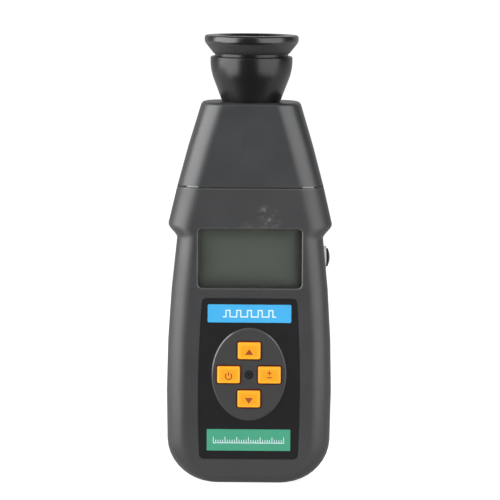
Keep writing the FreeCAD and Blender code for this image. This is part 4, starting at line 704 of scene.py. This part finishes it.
def wedge(spot, outward, long, thin, deep):
    """One arm of the driver's tip, both ways across the head, narrower at its inner end."""
    bpy.ops.object.select_all(action="DESELECT")
    bpy.ops.mesh.primitive_cube_add(size=1.0)
    arm = bpy.context.object
    bpy.ops.object.mode_set(mode="EDIT")
    bpy.ops.mesh.select_mode(type="VERT")
    bpy.ops.transform.resize(value=(long * MM, 2 * deep * MM, thin * MM))
    bpy.ops.mesh.select_all(action="DESELECT")
    bpy.ops.object.mode_set(mode="OBJECT")
    for corner in arm.data.vertices:
        corner.select = outward * corner.co.y < 0
    bpy.ops.object.mode_set(mode="EDIT")
    bpy.ops.transform.resize(value=(TIP_TAPER, 1.0, TIP_TAPER))
    bpy.ops.mesh.select_all(action="SELECT")
    bpy.ops.transform.translate(value=spot)
    bpy.ops.object.mode_set(mode="OBJECT")
    return arm


def cut_recesses(skin, outward, across=2.6, thin=0.55, deep=0.8):
    """Take a cross out of every head of a screw piece."""
    spots = head_spots(skin, outward)
    for spot in spots:
        for size in ((across, thin), (thin, across)):
            arm = wedge(spot, outward, size[0], size[1], deep)
            bpy.ops.object.select_all(action="DESELECT")
            skin.select_set(True)
            bpy.context.view_layer.objects.active = skin
            bpy.ops.object.modifier_add(type="BOOLEAN")
            cut = skin.modifiers[-1]
            cut.operation, cut.solver, cut.object = "DIFFERENCE", "EXACT", arm
            bpy.ops.object.modifier_apply(modifier=cut.name)
            bpy.data.objects.remove(arm)
    return len(spots)


in_front = cut_recesses(SKINS["centre_screw"], outward=-1, across=2.2, thin=0.5, deep=0.6)
print("cut", in_front, "recess in front")
for node in ("case_screws", "head_screws"):
    print("cut", cut_recesses(SKINS[node], outward=1), "recesses in", node)

# %% [markdown]
# ## The lamp housing
# The bowl and its lens ring were turned on a lathe, so their skins are curves of revolution. The outline is
# drawn as a chain of points, each extruded from the last as by hand, and spun about the lamp's axis. An arc
# is drawn by its formula, which keeps the bowl's swell smooth.

# %% A helper that turns an outline
POINT_WELD = 0.0005 * MM


def smooth_by_angle(angle=32.0):
    """Shade the active piece smooth except over sharp edges."""
    bpy.ops.object.mode_set(mode="OBJECT")
    bpy.ops.object.shade_smooth_by_angle(angle=math.radians(angle))


def start_from_a_point(name, place):
    """A new piece in edit mode that is one selected point."""
    bpy.ops.object.select_all(action="DESELECT")
    bpy.ops.mesh.primitive_plane_add(size=2 * MM)
    bpy.ops.object.mode_set(mode="EDIT")
    bpy.ops.mesh.select_mode(type="VERT")
    bpy.ops.mesh.select_all(action="SELECT")
    bpy.ops.mesh.merge(type="CENTER")
    bpy.ops.transform.translate(value=place)
    bpy.context.object.name = name
    return bpy.context.object


def turned(name, outline, steps=128):
    """A closed outline of (radius, z) in millimetres, drawn point by point and spun about Z."""
    spots = [Vector((radius * MM, 0.0, z * MM)) for radius, z in outline]
    piece = start_from_a_point(name, spots[0])
    for here, there in zip(spots, spots[1:] + spots[:1]):
        bpy.ops.mesh.extrude_region_move(TRANSFORM_OT_translate={"value": there - here})
    bpy.ops.mesh.select_all(action="SELECT")
    bpy.ops.mesh.remove_doubles(threshold=POINT_WELD)
    bpy.ops.mesh.select_all(action="SELECT")
    bpy.ops.mesh.spin(steps=steps, angle=2 * math.pi, center=(0, 0, 0), axis=(0, 0, 1))
    bpy.ops.mesh.select_all(action="SELECT")
    bpy.ops.mesh.remove_doubles(threshold=POINT_WELD)
    bpy.ops.mesh.normals_make_consistent(inside=False)
    smooth_by_angle()
    return piece


def arc(centre, radius, first, last, steps):
    """Points on an arc about centre (radius, z), from one angle to another in degrees."""
    turns = [math.radians(first + (last - first) * step / steps) for step in range(steps + 1)]
    return [(centre[0] + radius * math.cos(turn), centre[1] + radius * math.sin(turn)) for turn in turns]


print("ready to turn outlines")

# %% The bowl
BOWL_LOW, BOWL_HIGH = low("lamp_bowl").z / MM, high("lamp_bowl").z / MM
HEAD_TOP = high("head_cover").z / MM
LEDGE = low("lens_ring").z / MM - 1.2
BOWL_RADIUS = 19.2
SWELL_RADIUS = 25.0
SWELL_TURN = 22.3
STRAIGHT_RIM = 1.1
ROLLED_EDGE = 0.9
FOOT_RADIUS = 13.6
NECK_RADIUS = 10.5
NECK_BORE = 8.4
SPIGOT_RADIUS = 17.2
BOWL_BORE = 15.4
BOWL_FLOOR = 2.0
FLOOR_RADIUS = 11.6
BORE_DEPTH = 13.0


def bowl_outline():
    """The neck, the foot, the swell, the rolled ledge and the spigot, then back down inside."""
    edge_centre = (BOWL_RADIUS - ROLLED_EDGE, LEDGE - ROLLED_EDGE)
    swell_centre = (BOWL_RADIUS - SWELL_RADIUS, edge_centre[1] - STRAIGHT_RIM)
    neck = [(NECK_BORE, BOWL_LOW), (NECK_RADIUS, BOWL_LOW), (NECK_RADIUS, HEAD_TOP)]
    swell = arc(swell_centre, SWELL_RADIUS, -SWELL_TURN, 0.0, 14)
    edge = arc(edge_centre, ROLLED_EDGE, 0.0, 90.0, 6)
    spigot = [(SPIGOT_RADIUS, LEDGE), (SPIGOT_RADIUS, BOWL_HIGH), (BOWL_BORE, BOWL_HIGH)]
    floor = HEAD_TOP + BOWL_FLOOR
    inside = [(BOWL_BORE, HEAD_TOP + BORE_DEPTH), (FLOOR_RADIUS, floor), (NECK_BORE, floor)]
    return neck + [(FOOT_RADIUS, HEAD_TOP)] + swell + edge + spigot + inside


bowl = turned("bowl_turned", bowl_outline())
bowl.data.materials.append(GLOSS_BLACK)
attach(bowl, "case")
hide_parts("lamp_bowl")
print("turned the bowl with", len(bowl.data.polygons), "faces")

# %% The lens ring
RING_LOW, RING_TOP = low("lens_ring").z / MM, high("lens_ring").z / MM
RING_RADIUS = high("lens_ring").x / MM
RING_BORE = 17.25
LIP_BORE = 15.4
LIP_THICK = 1.6
LIP_EDGE = 1.0
BAND_LOW = RING_LOW + 4.6
BAND_SWELL = 2.6
TOP_ROLL = 1.15


def ring_outline():
    """A plain cone below, a polished band above with a rolled top edge, and the lip that holds the lens."""
    cone = [(RING_BORE, RING_LOW), (17.6, RING_LOW), (17.9, RING_LOW + 0.25)]
    step = [(21.15, RING_LOW + 4.35), (21.35, RING_LOW + 4.5), (21.55, RING_LOW + 4.75)]
    band = arc((RING_RADIUS - BAND_SWELL, RING_TOP - 2.2), BAND_SWELL, -22.0, 0.0, 4)
    roll = arc((RING_RADIUS - TOP_ROLL, RING_TOP - TOP_ROLL), TOP_ROLL, 0.0, 90.0, 7)
    top = [(16.7, RING_TOP), (16.2, RING_TOP - 0.2), (LIP_BORE, RING_TOP - LIP_EDGE)]
    under = [(LIP_BORE, RING_TOP - LIP_THICK), (RING_BORE, RING_TOP - LIP_THICK)]
    return cone + step + band + roll + top + under


MATT_TURNED = {"shade_change": 0.06, "pit_scale": 2600.0, "pit_depth": 0.3, "Specular_IOR_Level": 0.7}
RING = finish("ring_black", (0.0165, 0.0165, 0.017), (0.50, 0.58), **MATT_TURNED)
polish = spread(RING.node_tree, along(RING, "Z"), BAND_LOW * MM, (BAND_LOW + 0.2) * MM, 0.0, 1.0)
painted(RING, polish, BLACK, 0.25)
ring = turned("ring_turned", ring_outline())
ring.data.materials.append(RING)
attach(ring, "case")
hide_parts("lens_ring")
print("turned the ring with", len(ring.data.polygons), "faces")

# %% [markdown]
# ## The overlay's print
# Two coloured bars are printed on the overlay. A print has no thickness to speak of, so each is a plate of
# a few hundredths of a millimetre, with rounded corners.

# %% Printed bars
PRINT = 0.03


def printed_bar(name, half_width, low_z, high_z, corner, ink):
    """A thin rounded plate on the front of the overlay. Sizes are in millimetres."""
    bpy.ops.object.select_all(action="DESELECT")
    bpy.ops.mesh.primitive_cube_add(size=1.0)
    plate = bpy.context.object
    plate.name = name
    bpy.ops.object.mode_set(mode="EDIT")
    bpy.ops.mesh.select_all(action="SELECT")
    bpy.ops.transform.resize(value=(2 * half_width * MM, PRINT * MM, (high_z - low_z) * MM))
    centre = (0.0, OVERLAY_FRONT - PRINT / 2 * MM, (low_z + high_z) / 2 * MM)
    bpy.ops.transform.translate(value=centre)
    bpy.ops.mesh.select_mode(type="EDGE")
    bpy.ops.mesh.select_all(action="DESELECT")
    bpy.ops.object.mode_set(mode="OBJECT")
    for edge in plate.data.edges:
        ends = [plate.data.vertices[index].co for index in edge.vertices]
        edge.select = abs(ends[0].y - ends[1].y) > PRINT / 2 * MM
    bpy.ops.object.mode_set(mode="EDIT")
    bpy.ops.mesh.bevel(offset=corner * MM, segments=5, affect="EDGES")
    bpy.ops.object.mode_set(mode="OBJECT")
    plate.data.materials.append(ink)
    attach(plate, "case")
    return plate


INK = {"gloss": (0.38, 0.46), "shade_change": 0.03, "pit_scale": 3000.0, "pit_depth": 0.15}
BLUE = finish("printed_blue", (0.043, 0.350, 0.660), **INK)
GREEN = finish("printed_green", (0.052, 0.315, 0.190), **INK)
blue_bar = printed_bar("blue_bar", 19.5, 76.9, 85.4, 0.7, BLUE)
green_bar = printed_bar("green_bar", 19.6, 16.1, 26.3, 0.4, GREEN)
print("printed", blue_bar.name, "and", green_bar.name)

# %% [markdown]
# ## Signs
# Each key carries a plain sign: a triangle up, a triangle down, a stroke in a broken ring for power, and
# plus over minus for the fine adjustment. The blue bar has a row of pulses, and the green bar a scale of
# ticks. All are drawn as outlines, filled, and given the thickness of ink.

# %% A helper that prints an outline
def printed_sign(name, outline, place, ink, body):
    """An outline of (x, z) in millimetres about a place, filled and as thick as a layer of ink."""
    spots = [Vector(place) + Vector((x * MM, 0.0, z * MM)) for x, z in outline]
    sign = start_from_a_point(name, spots[0])
    for here, there in zip(spots, spots[1:]):
        bpy.ops.mesh.extrude_region_move(TRANSFORM_OT_translate={"value": there - here})
    bpy.ops.mesh.select_all(action="SELECT")
    bpy.ops.mesh.edge_face_add()
    bpy.ops.mesh.extrude_region_move(TRANSFORM_OT_translate={"value": (0.0, -PRINT * MM, 0.0)})
    bpy.ops.mesh.select_all(action="SELECT")
    bpy.ops.mesh.normals_make_consistent(inside=False)
    bpy.ops.object.mode_set(mode="OBJECT")
    sign.data.materials.append(ink)
    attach(sign, body)
    return sign


def box_outline(x_low, x_high, z_low, z_high):
    """The four corners of an upright rectangle."""
    return [(x_low, z_low), (x_high, z_low), (x_high, z_high), (x_low, z_high)]


LEGEND = finish("key_print", (0.27, 0.055, 0.010), (0.42, 0.5), 0.05, 3000.0, 0.1)
WHITE_INK = finish("white_ink", (0.60, 0.74, 0.78), (0.42, 0.5), 0.04, 3000.0, 0.1)
print("ready to print signs")

# %% The signs on the keys
SIGN_DROP = 0.7 * MM


def print_key_signs():
    """One sign for each key, made of one or two outlines. Each rides on its own key."""
    arrow = [(-1.9, -1.2), (1.9, -1.2), (0.0, 1.5)]
    ring = arc((0.0, 0.0), 1.75, 125.0, 415.0, 20) + arc((0.0, 0.0), 1.25, 415.0, 125.0, 20)
    signs = {
        "key_up": [arrow],
        "key_down": [[(x, -z) for x, z in reversed(arrow)]],
        "key_power": [ring, box_outline(-0.25, 0.25, 0.2, 2.1)],
        "key_fine": [
            [(-0.25, 0.55), (0.25, 0.55), (0.25, 1.4), (1.1, 1.4), (1.1, 1.9), (0.25, 1.9), (0.25, 2.75)]
            + [(-0.25, 2.75), (-0.25, 1.9), (-1.1, 1.9), (-1.1, 1.4), (-0.25, 1.4)],
            box_outline(-1.1, 1.1, -0.75, -0.25),
        ],
    }
    for node, outlines in signs.items():
        place = (middle(node).x, low(node).y, middle(node).z - SIGN_DROP)
        for index, outline in enumerate(outlines):
            printed_sign(f"{node}_sign_{index}", outline, place, LEGEND, node)


print_key_signs()
print("printed the signs on", len(KEYS), "keys")

# %% The pulses and the scale
def pulse_outline(pulses, pitch, wide, tall, stroke):
    """A row of square pulses as one closed line with the given stroke."""
    start = -pulses * pitch / 2
    above, below = [(start, 0.0)], [(start, stroke)]
    for index in range(pulses):
        left = start + index * pitch + (pitch - wide) / 2
        right = left + wide
        above += [(left + stroke, 0.0), (left + stroke, tall - stroke), (right - stroke, tall - stroke)]
        above += [(right - stroke, 0.0)]
        below += [(left, stroke), (left, tall), (right, tall), (right, stroke)]
    above.append((-start, 0.0))
    below.append((-start, stroke))
    return above + below[::-1]


def scale_outline(ticks, pitch, stroke, short, long, every):
    """A line with ticks, each fifth one longer, as one closed outline."""
    half = (ticks - 1) * pitch / 2
    outline = [(half + stroke / 2, 0.0), (-half - stroke / 2, 0.0)]
    for index in range(ticks):
        x = -half + index * pitch
        tall = long if index % every == 0 else short
        left, right = x - stroke / 2, x + stroke / 2
        outline += [(left, stroke), (left, tall), (right, tall), (right, stroke)]
    return outline


BAR_FRONT = OVERLAY_FRONT - PRINT * MM
PULSE_LINE = 79.3 * MM
TICK_LINE = 19.6 * MM
pulses = pulse_outline(pulses=5, pitch=5.0, wide=2.4, tall=3.6, stroke=0.55)
printed_sign("pulse_row", pulses, (0.0, BAR_FRONT, PULSE_LINE), WHITE_INK, "case")
ticks = scale_outline(ticks=31, pitch=1.1, stroke=0.35, short=1.7, long=3.0, every=5)
printed_sign("tick_row", ticks, (0.0, BAR_FRONT, TICK_LINE), WHITE_INK, "case")
print("printed the pulses and the scale")

# %% [markdown]
# ## Stage, light and camera
# The product stands on a seamless white sweep. The floor is white only to the camera and through glass, and
# half as bright in reflections, so the light on the object stays plain. Two tall soft boxes, left and
# right, draw the bright lines down the rounded edges. A small one, high in front, lights the top faces.

# %% The look of the sweep
SHADOW_REACH = 0.2
SHADOW_GLOW = 0.90
MIRRORED_GLOW = 0.5


def stage_material():
    """A pale floor that looks white and still takes a shadow."""
    material = bpy.data.materials.new("sweep_white")
    material.use_nodes = True
    tree = material.node_tree
    shader = tree.nodes["Principled BSDF"]
    shader.inputs["Base Color"].default_value = (0.35, 0.35, 0.35, 1.0)
    shader.inputs["Roughness"].default_value = 0.9
    shader.inputs["Specular IOR Level"].default_value = 0.0
    path = tree.nodes.new("ShaderNodeLightPath")
    mirrored = maths(tree, "MULTIPLY", path.outputs["Is Glossy Ray"], MIRRORED_GLOW)
    seen = maths(tree, "MAXIMUM", path.outputs["Is Camera Ray"], mirrored)
    seen = maths(tree, "MAXIMUM", seen, path.outputs["Is Transmission Ray"])
    places = tree.nodes.new("ShaderNodeTexCoord")
    away = tree.nodes.new("ShaderNodeVectorMath")
    away.operation = "LENGTH"
    tree.links.new(places.outputs["Object"], away.inputs[0])
    glow = spread(tree, away.outputs["Value"], SHADOW_REACH, 3 * SHADOW_REACH, SHADOW_GLOW, 1.0)
    white = tree.nodes.new("ShaderNodeEmission")
    tree.links.new(maths(tree, "MULTIPLY", seen, glow), white.inputs["Strength"])
    both = tree.nodes.new("ShaderNodeAddShader")
    tree.links.new(shader.outputs["BSDF"], both.inputs[0])
    tree.links.new(white.outputs["Emission"], both.inputs[1])
    tree.links.new(both.outputs["Shader"], tree.nodes["Material Output"].inputs["Surface"])
    return material


print("ready to lay the sweep")

# %% The sweep under and behind the object
SWEEP_HALF_WIDTH = 4.0
SWEEP_FRONT = -0.12
SWEEP_BACK = 2.8
SWEEP_HEIGHT = 4.5
SWEEP_BEND = 0.8


def select_back_edges(piece, top=math.inf):
    """Select the edges behind the object that lie no higher than top, and enter edit mode."""
    bpy.ops.mesh.select_mode(type="EDGE")
    bpy.ops.mesh.select_all(action="DESELECT")
    bpy.ops.object.mode_set(mode="OBJECT")
    for edge in piece.data.edges:
        ends = [piece.data.vertices[index].co for index in edge.vertices]
        edge.select = all(end.y > 0 and end.z < top for end in ends)
    bpy.ops.object.mode_set(mode="EDIT")


bpy.ops.object.select_all(action="DESELECT")
bpy.ops.mesh.primitive_plane_add(size=2.0)
sweep = bpy.context.object
sweep.name = "sweep"
bpy.ops.object.mode_set(mode="EDIT")
bpy.ops.transform.resize(value=(SWEEP_HALF_WIDTH, (SWEEP_BACK - SWEEP_FRONT) / 2, 1.0))
bpy.ops.transform.translate(value=(0.0, (SWEEP_BACK + SWEEP_FRONT) / 2, 0.0))
select_back_edges(sweep)
bpy.ops.mesh.extrude_region_move(TRANSFORM_OT_translate={"value": (0, 0, SWEEP_HEIGHT)})
select_back_edges(sweep, SWEEP_HEIGHT / 2)
bpy.ops.mesh.bevel(offset=SWEEP_BEND, segments=24, affect="EDGES")
smooth_by_angle()
sweep.data.materials.append(stage_material())
print("made the sweep with", len(sweep.data.polygons), "faces")

# %% The world
ROOM_LIGHT = 0.08


def make_world():
    """White to the camera and through glass, and a dim room to everything else."""
    world = bpy.data.worlds.new("studio")
    world.use_nodes = True
    tree = world.node_tree
    path = tree.nodes.new("ShaderNodeLightPath")
    seen = maths(tree, "MAXIMUM", path.outputs["Is Camera Ray"], path.outputs["Is Transmission Ray"])
    mix = tree.nodes.new("ShaderNodeMixShader")
    tree.links.new(seen, mix.inputs["Fac"])
    grounds = (tree.nodes["Background"], tree.nodes.new("ShaderNodeBackground"))
    for index, (ground, strength) in enumerate(zip(grounds, (ROOM_LIGHT, 1.0))):
        ground.inputs["Color"].default_value = (1.0, 1.0, 1.0, 1.0)
        ground.inputs["Strength"].default_value = strength
        tree.links.new(ground.outputs["Background"], mix.inputs[1 + index])
    tree.links.new(mix.outputs["Shader"], tree.nodes["World Output"].inputs["Surface"])
    return world


bpy.context.scene.world = make_world()
print("made the world")

# %% The lamps
AIM = Vector((0.0, 0.0, 0.105))


def soft_box(name, azimuth, distance, height, width, tall, radiance):
    """A rectangular lamp aimed at the object. azimuth is in degrees, to the camera's right if positive."""
    light = bpy.data.lights.new(name, "AREA")
    light.shape = "RECTANGLE"
    light.size, light.size_y = width, tall
    light.energy = radiance * math.pi * width * tall
    lamp = bpy.data.objects.new(name, light)
    bpy.context.scene.collection.objects.link(lamp)
    turn = math.radians(azimuth)
    lamp.location = (distance * math.sin(turn), -distance * math.cos(turn), height)
    lamp.rotation_euler = (AIM - lamp.location).to_track_quat("-Z", "Y").to_euler()
    return lamp


soft_box("left_box", -69.0, 0.85, 0.30, width=1.15, tall=1.3, radiance=4.8)
soft_box("right_box", 50.0, 0.85, 0.30, width=1.10, tall=1.3, radiance=2.65)
soft_box("top_box", 0.0, 0.7, 1.25, width=0.9, tall=0.5, radiance=0.6)
print("lit the stage with three soft boxes")

# %% [markdown]
# The camera's height, tilt and lens were worked out from the photograph. The lens ring's ellipse gives the
# tilt.

# %% The camera
CAMERA_PLACE = (0.0, -1.2, 0.258)
CAMERA_TILT = 7.09
CAMERA_ROLL = 0.46
CAMERA_LENS = 184.45
camera = bpy.data.objects.new("camera", bpy.data.cameras.new("camera"))
bpy.context.scene.collection.objects.link(camera)
camera.location = CAMERA_PLACE
tilt = Matrix.Rotation(math.radians(90.0 - CAMERA_TILT), 4, "X")
camera.rotation_euler = (tilt @ Matrix.Rotation(math.radians(CAMERA_ROLL), 4, "Z")).to_euler()
camera.data.lens = CAMERA_LENS
camera.data.sensor_width = 36.0
bpy.context.scene.camera = camera
bpy.context.scene.view_settings.view_transform = "Standard"
print("placed the camera at", CAMERA_PLACE)
